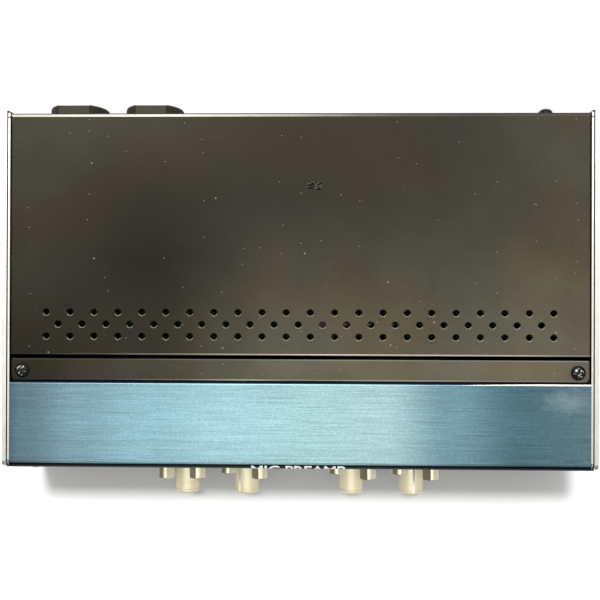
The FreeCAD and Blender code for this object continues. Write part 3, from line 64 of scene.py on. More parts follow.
# ================================================================ shader building
class Shade:
    """A node material whose coordinates are millimetres in the piece's own frame."""

    def __init__(self, name):
        self.material = bpy.data.materials.new(name)
        self.material.use_nodes = True
        self.tree = self.material.node_tree
        self.tree.nodes.clear()
        coordinate = self.tree.nodes.new("ShaderNodeTexCoord")
        self.facing = coordinate.outputs["Normal"]
        scale = self.tree.nodes.new("ShaderNodeVectorMath")
        scale.operation = "SCALE"
        self.put(scale.inputs[0], coordinate.outputs["Object"])
        scale.inputs["Scale"].default_value = 1 / MM
        self.place = scale.outputs[0]

    def put(self, socket, value):
        if isinstance(value, bpy.types.NodeSocket):
            self.tree.links.new(value, socket)
        elif socket.type == "RGBA" and len(value) == 3:
            socket.default_value = (*value, 1)
        else:
            socket.default_value = value

    def node(self, kind, inputs, **settings):
        made = self.tree.nodes.new("ShaderNode" + kind)
        for key, value in settings.items():
            setattr(made, key, value)
        for key, value in inputs.items():
            self.put(made.inputs[key], value)
        return made

    def math(self, operation, a, b=0.0, c=0.0):
        return self.node("Math", {0: a, 1: b, 2: c}, operation=operation).outputs[0]

    def times(self, a, b):
        return self.math("MULTIPLY", a, b)

    def plus(self, a, b):
        return self.math("ADD", a, b)

    def larger(self, a, b):
        return self.math("MAXIMUM", a, b)

    def scaled(self, colour, factor):
        """A colour made lighter or darker by a number."""
        return self.node("VectorMath", {0: colour, "Scale": factor}, operation="SCALE").outputs[0]

    def tinted(self, level, tint):
        return self.node("VectorMath", {0: level, 1: tint}, operation="MULTIPLY").outputs[0]

    def distance(self, place, point):
        return self.node("VectorMath", {0: place, 1: point}, operation="DISTANCE").outputs["Value"]

    def span(self, value, low, high, to_low=0.0, to_high=1.0):
        """value's stretch low..high, mapped to to_low..to_high and held there outside it."""
        inputs = {"Value": value, "From Min": low, "From Max": high, "To Min": to_low, "To Max": to_high}
        return self.node("MapRange", inputs, clamp=True).outputs[0]

    def moved(self, scale=(1, 1, 1), turn=0.0, offset=(0, 0, 0)):
        """The piece's coordinates turned about Z, then stretched and shifted."""
        place = self.place
        if turn:
            place = self.node("Mapping", {"Vector": place, "Rotation": (0, 0, turn)}).outputs[0]
        return self.node("Mapping", {"Vector": place, "Scale": scale, "Location": offset}).outputs[0]

    def noise(self, scale, detail=2.0, rough=0.5, turn=0.0, offset=(0, 0, 0)):
        """Smooth noise around 0.5. scale is lumps per millimetre along each axis, offset picks the place."""
        place = self.moved(scale, turn, offset)
        inputs = {"Vector": place, "Scale": 1.0, "Detail": detail, "Roughness": rough}
        return self.node("TexNoise", inputs).outputs[0]

    def mix(self, factor, a, b):
        made = self.node("Mix", {}, data_type="RGBA")
        self.put(made.inputs[0], factor)
        self.put(made.inputs[6], a)
        self.put(made.inputs[7], b)
        return made.outputs[2]

    def axis(self, letter, of=None):
        return self.node("SeparateXYZ", {0: of or self.place}).outputs[letter]

    def ramp(self, value, stops):
        """Smooth colours, or levels, between (value, colour) stops."""
        low, high = stops[0][0], stops[-1][0]
        made = self.node("ValToRGB", {0: self.span(value, low, high)})
        made.color_ramp.interpolation = "EASE"
        while len(made.color_ramp.elements) < len(stops):
            made.color_ramp.elements.new(0.5)
        for element, (at, colour) in zip(made.color_ramp.elements, stops):
            element.position = (at - low) / (high - low)
            element.color = (*colour, 1) if isinstance(colour, tuple) else (colour, colour, colour, 1)
        return made.outputs[0]

    def specks(self, per_mm, size, share, offset=(0, 0, 0), spread="3D"):
        """Small dots: 1 inside a dot, 0 elsewhere. share is how many of the cells hold one. 2D spreads them
        over X and Y only, for a flat top."""
        cells = self.node("TexVoronoi", {"Vector": self.moved((per_mm,) * 3, 0, offset), "Scale": 1.0},
                          voronoi_dimensions=spread)
        near = self.span(cells.outputs["Distance"], size * per_mm, 0.4 * size * per_mm)
        red = self.node("SeparateColor", {0: cells.outputs["Color"]}).outputs[0]
        return self.times(near, self.math("LESS_THAN", red, share))

    def scratches(self, turn, offset, share=0.70):
        """Short hairlines in one direction, gathered in patches."""
        line = self.span(self.noise((0.16, 3.4, 3.4), 1, 0.5, turn, offset), share, share + 0.035)
        run = self.span(self.noise((0.06, 0.06, 0.06), 2, 0.5, 0, offset), 0.55, 0.62)
        return self.times(line, run)

    def bump(self, height, depth_mm, normal=None):
        """A surface normal with relief of a depth, laid over another normal if one is given."""
        inputs = {"Height": height, "Distance": depth_mm * MM, "Strength": 1.0}
        if normal is not None:
            inputs["Normal"] = normal
        return self.node("Bump", inputs).outputs[0]

    def rounded(self, radius_mm):
        """A surface normal that rounds sharp edges."""
        return self.node("Bevel", {"Radius": radius_mm * MM}, samples=4).outputs[0]

    def surface(self, **values):
        """The finished material. values are the shader's inputs, with _ for a space."""
        inputs = {key.replace("_", " "): value for key, value in values.items()}
        shader = self.node("BsdfPrincipled", inputs)
        out = self.tree.nodes.new("ShaderNodeOutputMaterial")
        self.put(out.inputs["Surface"], shader.outputs[0])
        return self.material


def coat(name, base, rough=0.5):
    """Powder coat: fine pebbled grain, slight mottling, dust and hairline scratches, alike all over."""
    s = Shade(name)
    mottle = s.noise((0.03, 0.03, 0.03), 3)
    grain = s.noise((1.6, 1.6, 1.6), 3, 0.6)
    light = s.plus(s.span(mottle, 0.3, 0.7, 0.92, 1.08), s.span(grain, 0.25, 0.75, -0.12, 0.12))
    colour = s.scaled(base, light)
    wear = s.larger(s.scratches(0.5, (3, 8, 0)), s.scratches(-0.9, (31, 2, 0)))
    wear = s.times(wear, 0.25)
    dust = s.larger(s.specks(0.16, 0.22, 0.35), s.specks(0.45, 0.13, 0.12, (5, 9, 2)))
    wear = s.larger(wear, s.times(dust, 0.45))
    colour = s.mix(wear, colour, (0.30, 0.29, 0.26))
    roughness = s.plus(s.span(mottle, 0.3, 0.7, rough - 0.05, rough + 0.05), s.times(wear, 0.3))
    fine = s.noise((3.0, 3.0, 3.0), 2, 0.6)
    normal = s.bump(fine, 0.012, s.rounded(0.12))
    return s.surface(Base_Color=colour, Roughness=roughness, Normal=normal, Specular_IOR_Level=0.45)


# painted sheen: how light the coat is painted, from the left edge of the case to the right
SHEEN_X = (-107.0, -59.0, 0.0, 59.0, 107.0)
SHEEN_ROWS = (                               # distance behind the case's middle, then the levels along x
    (63.0, (0.051, 0.041, 0.028, 0.031, 0.0595)),
    (36.0, (0.037, 0.020, 0.027, 0.037, 0.054)),
    (12.0, (0.030, 0.012, 0.049, 0.053, 0.0755)),
    (-20.0, (0.017, 0.025, 0.086, 0.091, 0.106)),
)
SHEEN_STRIP = ((-31.0, (0.021, 0.050, 0.110, 0.117, 0.126)),)
COAT_WARM, COAT_COOL = (1.04, 0.86, 0.53), (0.96, 0.89, 0.64)
DUST_GREY = (0.42, 0.40, 0.35)
SOOT, CRUMB = (0.006, 0.006, 0.005), (0.20, 0.19, 0.15)
# painted shadow: near-black for gaps and deep steps
PAINTED_GAP_SHADOW = (0.001, 0.001, 0.001)
# colour of the painted highlight on the cover's rear fold
PAINTED_FOLD_HIGHLIGHT = (0.96, 0.91, 0.78)
SCUFF_SQUEEZE = 0.75                         # the scuff on the cover is wider than it is deep
# (x, level) along the case: how bright the painted highlight on the cover's rear fold is, and how light
# the painted highlights on the cover's front fold and the strip's two edges are
FOLD_SHINE = [(-117.0, 0.70), (-95.0, 0.80), (-72.0, 1.0), (-48.0, 1.0), (-30.0, 0.72), (-4.0, 0.50),
              (12.0, 0.30), (26.0, 0.16), (45.0, 0.07), (75.0, 0.03), (117.0, 0.02)]
COVER_LIP_HIGHLIGHT = [(-112.0, 0.04), (-80.0, 0.10), (-60.0, 0.22), (-20.0, 0.55), (15.0, 0.85), (42.0, 0.75),
             (83.0, 0.60), (113.0, 0.32)]
STRIP_REAR_HIGHLIGHT = [(-112.0, 0.045), (-80.0, 0.055), (-40.0, 0.12), (20.0, 0.22), (60.0, 0.18), (113.0, 0.22)]
STRIP_FRONT_HIGHLIGHT = [(-112.0, 0.02), (-80.0, 0.05), (-50.0, 0.14), (-20.0, 0.42), (0.0, 0.24), (42.0, 0.33),
               (83.0, 0.20), (113.0, 0.14)]
FOLD_ZONE = 4.0                              # how far from its edge a fold can reach
LEDGE_DEPTH = 0.85                           # the ledge under the strip lies deeper than this below the top
STRIP_LOW, STRIP_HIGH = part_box("retaining_strip")
COVER_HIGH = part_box("top_cover")[1]


def worn_coat(name, rows, edges, scuff_at=None):
    """Black powder coat with dust, hairlines and a slow change of painted sheen. edges paints the piece's own
    highlights and shade on its edges, and says where it is painted black as deep shadow."""
    s = Shade(name)
    x, y = s.axis("X"), s.axis("Y")
    level = last = None
    scuff = 0.0
    # painted sheen: the coat's colour is made lighter or darker across the case where it reflects light
    for behind, levels in rows:
        row = s.ramp(x, list(zip(SHEEN_X, levels)))
        at = CASE_Y / MM + behind
        level = row if level is None else s.mix(s.span(y, last, at), level, row)
        last = at
    mottle = s.noise((0.05, 0.05, 0.05), 4, 0.55)
    grain = s.noise((1.4, 1.4, 1.4), 3, 0.65)
    light = s.plus(s.span(mottle, 0.3, 0.7, 0.86, 1.14), s.span(grain, 0.25, 0.75, -0.14, 0.14))
    tint = s.mix(s.span(s.noise((0.020, 0.024, 0.024), 1), 0.40, 0.60), COAT_COOL, COAT_WARM)
    colour = s.scaled(s.tinted(level, tint), light)
    wear = s.larger(s.scratches(0.55, (3, 8, 0), 0.72), s.scratches(-0.95, (31, 2, 0), 0.72))
    wear = s.times(s.larger(wear, s.scratches(1.35, (12, 44, 0), 0.72)), 0.08)
    dust = s.larger(s.specks(0.06, 0.40, 0.22, spread="2D"), s.specks(0.13, 0.24, 0.22, (5, 9, 2), "2D"))
    wear = s.larger(wear, s.times(dust, 0.75))
    colour = s.mix(wear, colour, DUST_GREY)
    if scuff_at:
        away = s.distance(s.moved((SCUFF_SQUEEZE, 1.0, 1.0)), (SCUFF_SQUEEZE * scuff_at[0], *scuff_at[1:]))
        ragged = s.plus(away, s.span(s.noise((0.6, 0.8, 0.8), 2), 0.3, 0.7, -0.7, 0.7))
        scuff = s.times(s.span(ragged, 2.3, 1.8), s.span(ragged, 0.2, 1.5, 0.55, 1.0))
        crumbs = s.times(s.span(s.noise((1.1, 1.6, 2.0), 2, 0.5, 0, (6, 1, 2)), 0.50, 0.62), 0.7)
        colour = s.mix(s.times(scuff, 0.92), colour, s.mix(crumbs, SOOT, CRUMB))
    colour, shadow = edges(s, x, y, colour)
    # painted shadow where the piece lies in deep shade
    colour = s.mix(shadow, colour, PAINTED_GAP_SHADOW)
    shadow = s.larger(shadow, scuff)
    roughness = s.plus(s.span(mottle, 0.3, 0.7, 0.46, 0.56), s.times(wear, 0.3))
    normal = s.bump(s.noise((3.0, 3.0, 3.0), 2, 0.6), 0.010)
    gloss = s.span(shadow, 0.0, 1.0, 0.12, 0.0)
    return s.surface(Base_Color=colour, Roughness=roughness, Normal=normal, Specular_IOR_Level=gloss,
                     Specular_Tint=(1.0, 0.93, 0.80, 1))


def cover_folds(s, x, y, colour):
    """Painted highlights and painted shade on the folds and vent rims. The ledge in front and the step down to it
    are painted black as deep shadow.
    """
    tilt = s.axis("Y", s.facing)
    at_rear = s.math("GREATER_THAN", y, COVER_HIGH.y / MM - FOLD_ZONE)
    at_front = s.math("LESS_THAN", y, STRIP_HIGH.y / MM + FOLD_ZONE)
    # painted shade on the steep part of the rear fold
    dark = s.times(at_rear, s.span(tilt, 0.66, 0.74, 0.0, 0.85))
    # vent rims painted darker as shade
    vent_rim = s.times(s.span(s.axis("Z", s.facing), 0.95, 0.85), s.math("SUBTRACT", 1.0, at_rear))
    dark = s.larger(dark, s.times(vent_rim, 0.7))
    colour = s.mix(dark, colour, (0.006, 0.005, 0.004))
    # painted glint on the vent rims that face the rear
    glint = s.times(vent_rim, s.span(tilt, 0.10, 0.45))
    colour = s.mix(s.times(glint, 0.55), colour, (0.50, 0.46, 0.36))
    # painted highlight along the rear fold, brightest on the left
    painted_highlight = s.times(s.span(tilt, 0.14, 0.22), s.span(tilt, 0.70, 0.60))
    painted_highlight = s.times(s.times(painted_highlight, at_rear), s.ramp(x, FOLD_SHINE))
    painted_highlight = s.times(painted_highlight, s.span(s.noise((0.5, 2.0, 2.0), 3), 0.25, 0.5, 0.75, 1.0))
    colour = s.mix(painted_highlight, colour, PAINTED_FOLD_HIGHLIGHT)
    # painted highlight on the rounded front fold
    lip_highlight = s.tinted(s.ramp(x, COVER_LIP_HIGHLIGHT), (1.0, 0.93, 0.78))
    colour = s.mix(s.times(at_front, s.span(tilt, -0.30, -0.45)), colour, lip_highlight)
    # the ledge and the step down to it are painted black as deep shadow
    below = s.math("LESS_THAN", s.axis("Z"), TOP_Z / MM - LEDGE_DEPTH)
    shadow = s.times(at_front, s.larger(below, s.span(tilt, -0.95, -0.985)))
    return colour, shadow


def strip_edges(s, x, y, colour):
    """Painted highlight lines along the strip's rear and front edges; its faces that do not look up are painted
    black as shadow.
    """
    for edge, reach, levels in ((STRIP_HIGH.y, -0.45, STRIP_REAR_HIGHLIGHT), (STRIP_LOW.y, 0.40, STRIP_FRONT_HIGHLIGHT)):
        line = s.tinted(s.ramp(x, levels), (1.0, 0.94, 0.80))
        near = s.span(y, edge / MM + 1.3 * reach, edge / MM + 0.7 * reach)
        colour = s.mix(near, colour, line)
    return colour, s.math("LESS_THAN", s.axis("Z", s.facing), 0.5)


# the blue's colour along x with a painted reflection, brightest in the middle
BLUE_ACROSS = [
    (-118.0, (0.075, 0.125, 0.155)), (-109.0, (0.140, 0.225, 0.270)), (-86.0, (0.225, 0.378, 0.448)),
    (-59.0, (0.285, 0.495, 0.565)), (-25.0, (0.360, 0.580, 0.640)), (6.0, (0.370, 0.585, 0.605)),
    (33.0, (0.395, 0.580, 0.610)), (59.0, (0.180, 0.322, 0.378)), (88.0, (0.088, 0.178, 0.215)),
    (117.0, (0.120, 0.205, 0.240)),
]
# painted light as the sheet turns from facing front to facing up: a painted highlight line where the bend starts,
# a painted dark band on the bend
PAINTED_BEND_LIGHT = [(0.0, 0.42), (0.10, 0.05), (0.940, 0.05), (0.968, 0.75), (0.978, 1.30), (0.987, 1.25),
             (0.997, 1.0)]
RUB_MARK = (106.0, -43.0, 2.2)               # x, distance behind the case's middle, how many times flatter
# painted shade along the fascia's rear edge, and the painted white highlight on its right part
EDGE_SHADE_BLUE, EDGE_HIGHLIGHT_WHITE = (0.010, 0.024, 0.045), (1.0, 1.0, 0.97)


def brushed_blue():
    """Blue anodised sheet brushed along X, with fine nicks and a whitish rub mark, and painted light: a reflection
    across x, a highlight and a dark band on the bend, and along the rear edge a dark line of shade with a white
    highlight on the right."""
    s = Shade("fascia_blue_anodise")
    x, y = s.axis("X"), s.axis("Y")
    inset = s.math("SUBTRACT", FASCIA_HIGH.y / MM, y)
    fine = s.noise((0.05, 3.2, 3.2), 2, 0.6)
    broad = s.noise((0.05, 1.6, 1.6), 3, 0.6)
    sparkle = s.noise((1.8, 2.6, 2.6), 2, 0.6, 0.0, (3, 3, 8))
    long = s.noise((0.010, 0.5, 0.5), 2, 0.5)
    # painted highlight and painted dark band on the bend, by how the surface faces
    bend_light = s.ramp(s.axis("Z", s.facing), PAINTED_BEND_LIGHT)
    rearward = s.span(inset, 2.0, 17.0, 0.86, 1.0)
    # the painted reflection across x, with the bend's painted light, darker towards the rear edge
    tone = s.scaled(s.ramp(x, BLUE_ACROSS), s.times(bend_light, rearward))
    light = s.plus(s.span(fine, 0.25, 0.75, 0.80, 1.18), s.span(broad, 0.3, 0.7, -0.10, 0.10))
    light = s.plus(light, s.span(long, 0.3, 0.7, -0.05, 0.05))
    light = s.plus(light, s.span(sparkle, 0.3, 0.7, -0.12, 0.12))
    light = s.plus(light, s.span(sparkle, 0.60, 0.76, 0.0, 0.30))
    colour = s.scaled(tone, light)
    nicks = s.larger(s.specks(0.22, 0.20, 0.28, (1, 4, 7)), s.specks(0.5, 0.12, 0.10, (8, 3, 1)))
    hairs = s.span(s.noise((0.12, 5.5, 5.5), 1, 0.5, 0.0, (9, 1, 5)), 0.70, 0.76)
    hairs = s.times(hairs, s.span(s.noise((0.06, 0.08, 0.08), 2), 0.52, 0.6))
    mark = s.larger(s.times(nicks, 0.55), s.times(hairs, 0.45))
    colour = s.mix(mark, colour, (0.62, 0.80, 0.88))
    rub_x, rub_y, flatter = RUB_MARK
    rub_at = s.distance(s.moved((1, flatter, 1)), (rub_x, flatter * (CASE_Y / MM + rub_y), TOP_Z / MM))
    ragged = s.plus(rub_at, s.span(s.noise((0.3, 0.5, 0.5), 3), 0.3, 0.7, -3.0, 3.0))
    rub = s.span(ragged, 13.0, 1.0, 0.0, 0.22)
    colour = s.mix(rub, colour, (0.60, 0.68, 0.70))
    # rear edge: a painted dark line of shade, and on the right a painted white highlight that widens to the right
    edge = s.span(inset, 1.1, 0.9)
    edge_highlight = s.math("LESS_THAN", s.span(x, 62.0, 96.0, 1.0, 0.45), inset)
    colour = s.mix(s.times(edge, 0.80), colour, EDGE_SHADE_BLUE)
    colour = s.mix(s.times(edge, edge_highlight), colour, EDGE_HIGHLIGHT_WHITE)
    roughness = s.plus(s.span(fine, 0.25, 0.75, 0.42, 0.54), s.times(rub, 0.3))
    normal = s.bump(s.plus(fine, s.times(broad, 0.5)), 0.0025)
    return s.surface(Base_Color=colour, Roughness=roughness, Metallic=1.0, Normal=normal)


def metal(name, base, rough, stretch=(1, 1, 1), depth=0.003, round_mm=0.1, warm=0.05, metallic=1.0,
          painted_gap_shade=None, painted_side_shade=None, painted_flank_shade=None):
    """Bare or clear-anodised metal.

    stretch sets the direction of the brushing or turning marks. painted_gap_shade is (near, far) in |x|:
    between them the upright and the sunken faces are painted dark as shade in a shadow line. painted_side_shade
    is how dark, from 0 to 1, a painted shade band along the upper left side is, and a painted shade line round
    the front rim. painted_flank_shade is the colour of the faces that look to either side, painted darker as
    shade than the lit top.
    """
    s = Shade(name)
    marks = s.noise(tuple(6.0 * k for k in stretch), 2, 0.6)
    broad = s.noise(tuple(0.8 * k for k in stretch), 2, 0.5)
    stain = s.noise((0.12, 0.12, 0.12), 3, 0.5, 0, (4, 7, 1))
    light = s.plus(s.span(marks, 0.25, 0.75, 0.93, 1.05), s.span(broad, 0.3, 0.7, -0.03, 0.03))
    shade = tuple(c * k for c, k in zip(base, (1 - warm, 1 - 1.6 * warm, 1 - 3.0 * warm)))
    colour = s.mix(s.span(stain, 0.45, 0.75), base, shade)
    # faces that look to either side are painted darker as shade
    if painted_flank_shade:
        aside = s.span(s.math("ABSOLUTE", s.axis("X", s.facing)), 0.6, 0.8)
        colour = s.mix(aside, colour, painted_flank_shade)
    colour = s.scaled(colour, light)
    # painted shade on the upright and sunken faces in the gap
    if painted_gap_shade:
        up = s.axis("Z", s.facing)
        out = s.math("ABSOLUTE", s.axis("X"))
        within = s.times(s.math("GREATER_THAN", out, painted_gap_shade[0]), s.math("LESS_THAN", out, painted_gap_shade[1]))
        deep = s.math("LESS_THAN", s.axis("Z"), TOP_Z / MM - 0.5)
        upright = s.math("LESS_THAN", up, 0.5)
        within = s.times(within, s.larger(upright, deep))
        within = s.times(within, s.math("GREATER_THAN", up, -0.5))
        colour = s.mix(s.times(within, 0.93), colour, (0.030, 0.024, 0.016))
    # painted shade: a dark band along the upper left side and a dark line round the front rim
    if painted_side_shade:
        side, ahead = s.axis("X", s.facing), s.axis("Y", s.facing)
        band = s.times(s.span(side, -0.25, -0.32), s.span(side, -0.92, -0.84))
        rim = s.times(s.span(ahead, -0.30, -0.40), s.span(ahead, -0.95, -0.88))
        dark = s.larger(s.times(band, painted_side_shade[0]), s.times(rim, painted_side_shade[1]))
        colour = s.mix(dark, colour, (0.10, 0.08, 0.04))
    roughness = s.span(marks, 0.25, 0.75, rough - 0.06, rough + 0.08)
    normal = s.bump(marks, depth, s.rounded(round_mm))
    return s.surface(Base_Color=colour, Roughness=roughness, Metallic=metallic, Normal=normal)


def black_oxide():
    """Glossy black screw finish, with painted glints: bright arcs round the driver recess and on the recess's
    walls.
    """
    s = Shade("screw_black_oxide")
    low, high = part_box("strip_screws")
    middle = ((high.x - (high.y - low.y) / 2) / MM, (low.y + high.y) / 2 / MM, 0)
    x, y = s.math("ABSOLUTE", s.axis("X")), s.axis("Y")
    out = s.node("CombineXYZ", {"X": x, "Y": y}).outputs[0]
    radius = s.distance(out, middle)
    patch = s.noise((0.75, 0.75, 0.75), 2, 0.5, 0, (2, 5, 1))
    # painted glints in arcs round the driver recess
    ring = s.times(s.span(radius, 0.7, 1.1), s.span(radius, 2.1, 1.7))
    arc_glint = s.times(ring, s.span(patch, 0.54, 0.60))
    # painted glint on the recess's walls
    upright = s.span(s.math("ABSOLUTE", s.axis("Z", s.facing)), 0.60, 0.45)
    painted_highlight = s.times(s.times(upright, s.span(radius, 2.1, 1.7)), s.span(patch, 0.46, 0.52))
    colour = s.mix(s.larger(painted_highlight, arc_glint), (0.006, 0.006, 0.005), (0.72, 0.70, 0.63))
    normal = s.bump(s.noise((2.0, 2.0, 2.0), 2), 0.004, s.rounded(0.10))
    return s.surface(Base_Color=colour, Roughness=s.span(patch, 0.3, 0.7, 0.12, 0.24), Normal=normal,
                     Specular_IOR_Level=0.4)


def plastic(name, base, rough, grain_mm=0.25, depth=0.01, round_mm=0.12, gloss=0.5, tint=(1, 1, 1)):
    """Moulded plastic with a spark-eroded grain and a few handling marks."""
    s = Shade(name)
    grain = s.noise((1 / grain_mm,) * 3, 2, 0.6)
    patch = s.noise((0.15,) * 3, 2)
    light = s.plus(s.span(grain, 0.3, 0.7, 0.92, 1.08), s.span(patch, 0.3, 0.7, -0.06, 0.06))
    colour = s.scaled(base, light)
    dust = s.times(s.specks(0.6, 0.10, 0.18), 0.3)
    colour = s.mix(dust, colour, (0.35, 0.34, 0.32))
    roughness = s.plus(s.span(patch, 0.3, 0.7, rough - 0.05, rough + 0.06), dust)
    normal = s.bump(grain, depth, s.rounded(round_mm))
    return s.surface(Base_Color=colour, Roughness=roughness, Normal=normal, Specular_IOR_Level=gloss,
                     Specular_Tint=(*tint, 1))


def clear(name, tint, rough=0.02, ior=1.47):
    """Clear glass or acrylic with a smear and some dust."""
    s = Shade(name)
    smear = s.span(s.noise((0.2, 0.2, 0.2), 3), 0.4, 0.7, rough, rough + 0.06)
    dust = s.specks(0.5, 0.10, 0.2)
    roughness = s.plus(smear, s.times(dust, 0.4))
    return s.surface(Base_Color=tint, Roughness=roughness, Transmission_Weight=1.0, IOR=ior)


def printed(name, base, rough=0.55):
    """Screen-printed ink, slightly uneven."""
    s = Shade(name)
    cover = s.noise((2.2, 2.2, 2.2), 3, 0.6)
    colour = s.mix(s.span(cover, 0.55, 0.8, 0.0, 0.25), base, tuple(0.7 * c for c in base))
    return s.surface(Base_Color=colour, Roughness=s.span(cover, 0.3, 0.7, rough - 0.1, rough + 0.1),
                     Normal=s.bump(cover, 0.004))


def board_mask():
    """Green solder mask with tracks running along X and Y under it."""
    s = Shade("board_solder_mask")
    inputs = {"Vector": s.moved((0.35, 0.7, 1)), "Scale": 1.0, "Mortar Size": 0.06}
    along = s.node("TexBrick", inputs).outputs["Fac"]
    colour = s.mix(along, (0.012, 0.10, 0.045), (0.03, 0.20, 0.085))
    pads = s.specks(0.35, 0.7, 0.3)
    colour = s.mix(pads, colour, (0.65, 0.62, 0.52))
    rough = s.span(s.noise((0.4, 0.4, 0.4), 3), 0.3, 0.7, 0.28, 0.42)
    return s.surface(Base_Color=colour, Roughness=rough, Metallic=s.times(pads, 0.8),
                     Normal=s.bump(s.larger(along, pads), 0.02))


def meter_paper():
    """Warm card with faint fibres and browner patches, glowing a little."""
    s = Shade("meter_card_print")
    fibre = s.noise((2.0, 2.0, 2.0), 4, 0.7)
    stain = s.noise((0.1, 0.1, 0.1), 2)
    colour = s.mix(s.span(stain, 0.35, 0.7), (0.86, 0.74, 0.46), (0.80, 0.66, 0.38))
    colour = s.mix(s.span(fibre, 0.5, 0.8, 0.0, 0.3), colour, (0.66, 0.54, 0.32))
    return s.surface(Base_Color=colour, Roughness=0.8, Normal=s.bump(fibre, 0.01), Emission_Color=colour,
                     Emission_Strength=0.18)


RING = (0.04, 1.0, 0.04)                     # marks of a piece turned about Y: rings across Y
NYLON_SHINE = (0.12, (1, 0.85, 0.65))        # how strong the nylon's shine is, and its tint
MATERIALS = {
    "tray_steel": metal("tray_plated_steel", (0.88, 0.87, 0.83), 0.34, (0.05, 1, 1), painted_gap_shade=(100.0, 116.0)),
    "black_coat": coat("black_powder_coat", (0.036, 0.033, 0.026)),
    "blue_anodise": brushed_blue(),
    "silver_anodise": metal("cheek_silver_anodise", (0.90, 0.885, 0.80), 0.36, (1, 0.04, 1), round_mm=0.2,
                            painted_gap_shade=(100.0, HALF_WIDTH - 1.5), painted_flank_shade=(0.60, 0.595, 0.575)),
    "knob_silver": metal("knob_turned_aluminium", (0.86, 0.775, 0.55), 0.52, RING, 0.003, 0.15, 0.02,
                         metallic=0.2, painted_side_shade=(0.08, 0.35)),
    "button_silver": metal("button_satin_aluminium", (0.85, 0.775, 0.58), 0.40, (1, 0.2, 1), 0.002, 0.1,
                           0.02, metallic=0.4, painted_side_shade=(0.85, 0.85)),
    "black_screw": black_oxide(),
    "zinc_screw": metal("screw_zinc_plate", (0.74, 0.74, 0.71), 0.30, (1, 1, 1), 0.004, 0.08),
    "nickel": metal("nickel_plate", (0.78, 0.76, 0.71), 0.18, (1, 1, 1), 0.002, 0.08),
    "foot_rubber": plastic("foot_moulded_rubber", (0.022, 0.022, 0.021), 0.75, 0.35, 0.03, 0.25, 0.3),
    "black_plastic": plastic("socket_black_nylon", (0.034, 0.030, 0.024), 0.60, 0.22, 0.012, 1.0,
                             *NYLON_SHINE),
    "latch_plastic": plastic("tab_black_nylon", (0.064, 0.056, 0.043), 0.55, 0.20, 0.010, 0.5, *NYLON_SHINE),
    "switch_plastic": plastic("switch_gloss_black", (0.014, 0.014, 0.015), 0.22, 0.5, 0.003, 0.2),
    "meter_card": meter_paper(),
    "clear_lens": clear("meter_lens_acrylic", (0.97, 0.98, 0.98), 0.01, 1.3),
    "needle_black": plastic("needle_black_paint", (0.012, 0.012, 0.012), 0.4, 0.3, 0.003, 0.03),
    "lamp_white": plastic("lamp_milky_white", (0.88, 0.88, 0.84), 0.25, 0.6, 0.002, 0.1),
    "board_green": board_mask(),
    "chip_black": plastic("chip_moulded_black", (0.022, 0.022, 0.023), 0.55, 0.18, 0.01, 0.1),
    "brass": metal("standoff_brass", (0.78, 0.60, 0.30), 0.25, (1, 1, 0.1), 0.003, 0.1),
    "tube_glass": clear("tube_envelope_glass", (0.96, 0.97, 0.96), 0.015),
    "socket_ceramic": plastic("socket_bisque_ceramic", (0.72, 0.69, 0.60), 0.6, 0.3, 0.01, 0.2, 0.3),
    "capacitor_sleeve": plastic("capacitor_shrink_sleeve", (0.015, 0.028, 0.09), 0.30, 0.6, 0.006, 0.2),
    "sink_black": metal("sink_black_anodise", (0.045, 0.045, 0.047), 0.38, (1, 0.05, 1), 0.004, 0.1),
    "ribbon_grey": plastic("cable_grey_jacket", (0.30, 0.30, 0.31), 0.55, 0.4, 0.01, 0.2),
    "ferrite": plastic("core_sintered_ferrite", (0.030, 0.028, 0.028), 0.65, 0.15, 0.015, 0.2),
}
WHITE_INK = printed("ink_white", (0.92, 0.92, 0.89))
BLACK_INK = printed("ink_black", (0.015, 0.015, 0.015))
RED_INK = printed("ink_red", (0.55, 0.03, 0.02))


def dress_nodes():
    """Each node takes the finish of its slot."""
    slots = {part["node"]: part["material_slot"] for part in RECORD["subparts"]}
    for name, node in NODES.items():
        node.data.materials.clear()
        node.data.materials.append(MATERIALS[slots[name]])
    scuff_at = (6.5, CASE_Y / MM + 41.6, COVER_HIGH.z / MM)
    for name, coating in (("top_cover", worn_coat("cover_powder_coat", SHEEN_ROWS, cover_folds, scuff_at)),
                          ("retaining_strip", worn_coat("strip_powder_coat", SHEEN_STRIP, strip_edges))):
        NODES[name].data.materials.clear()
        NODES[name].data.materials.append(coating)


# ================================================================ small pieces
def piece(name, body, geometry, material):
    """A mesh object from a bmesh, riding on a body."""
    mesh = bpy.data.meshes.new(name)
    geometry.to_mesh(mesh)
    geometry.free()
    mesh.materials.append(material)
    made = bpy.data.objects.new(name, mesh)
    bpy.context.scene.collection.objects.link(made)
    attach(made, body)
    return made


def front_place(u, v, w):
    """A point on the fascia: u across, v up from the floor, along the front and the bend, w outwards."""
    flat_top = TOP_Z - BEND_R
    if v <= flat_top:
        return Vector((u, FRONT_Y - w, v))
    angle = (v - flat_top) / BEND_R
    reach = BEND_R + w
    return Vector((u, FRONT_Y + BEND_R - reach * math.cos(angle), flat_top + reach * math.sin(angle)))


def rear_place(u, v, w):
    """A point on the rear panel, seen from behind: u across, v up, w outwards."""
    return Vector((-u, REAR_FACE_Y + w, v))


def card_place(u, v, w):
    """A point on the meters' scale cards."""
    return Vector((u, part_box("meter_scales")[0].y - w, v))


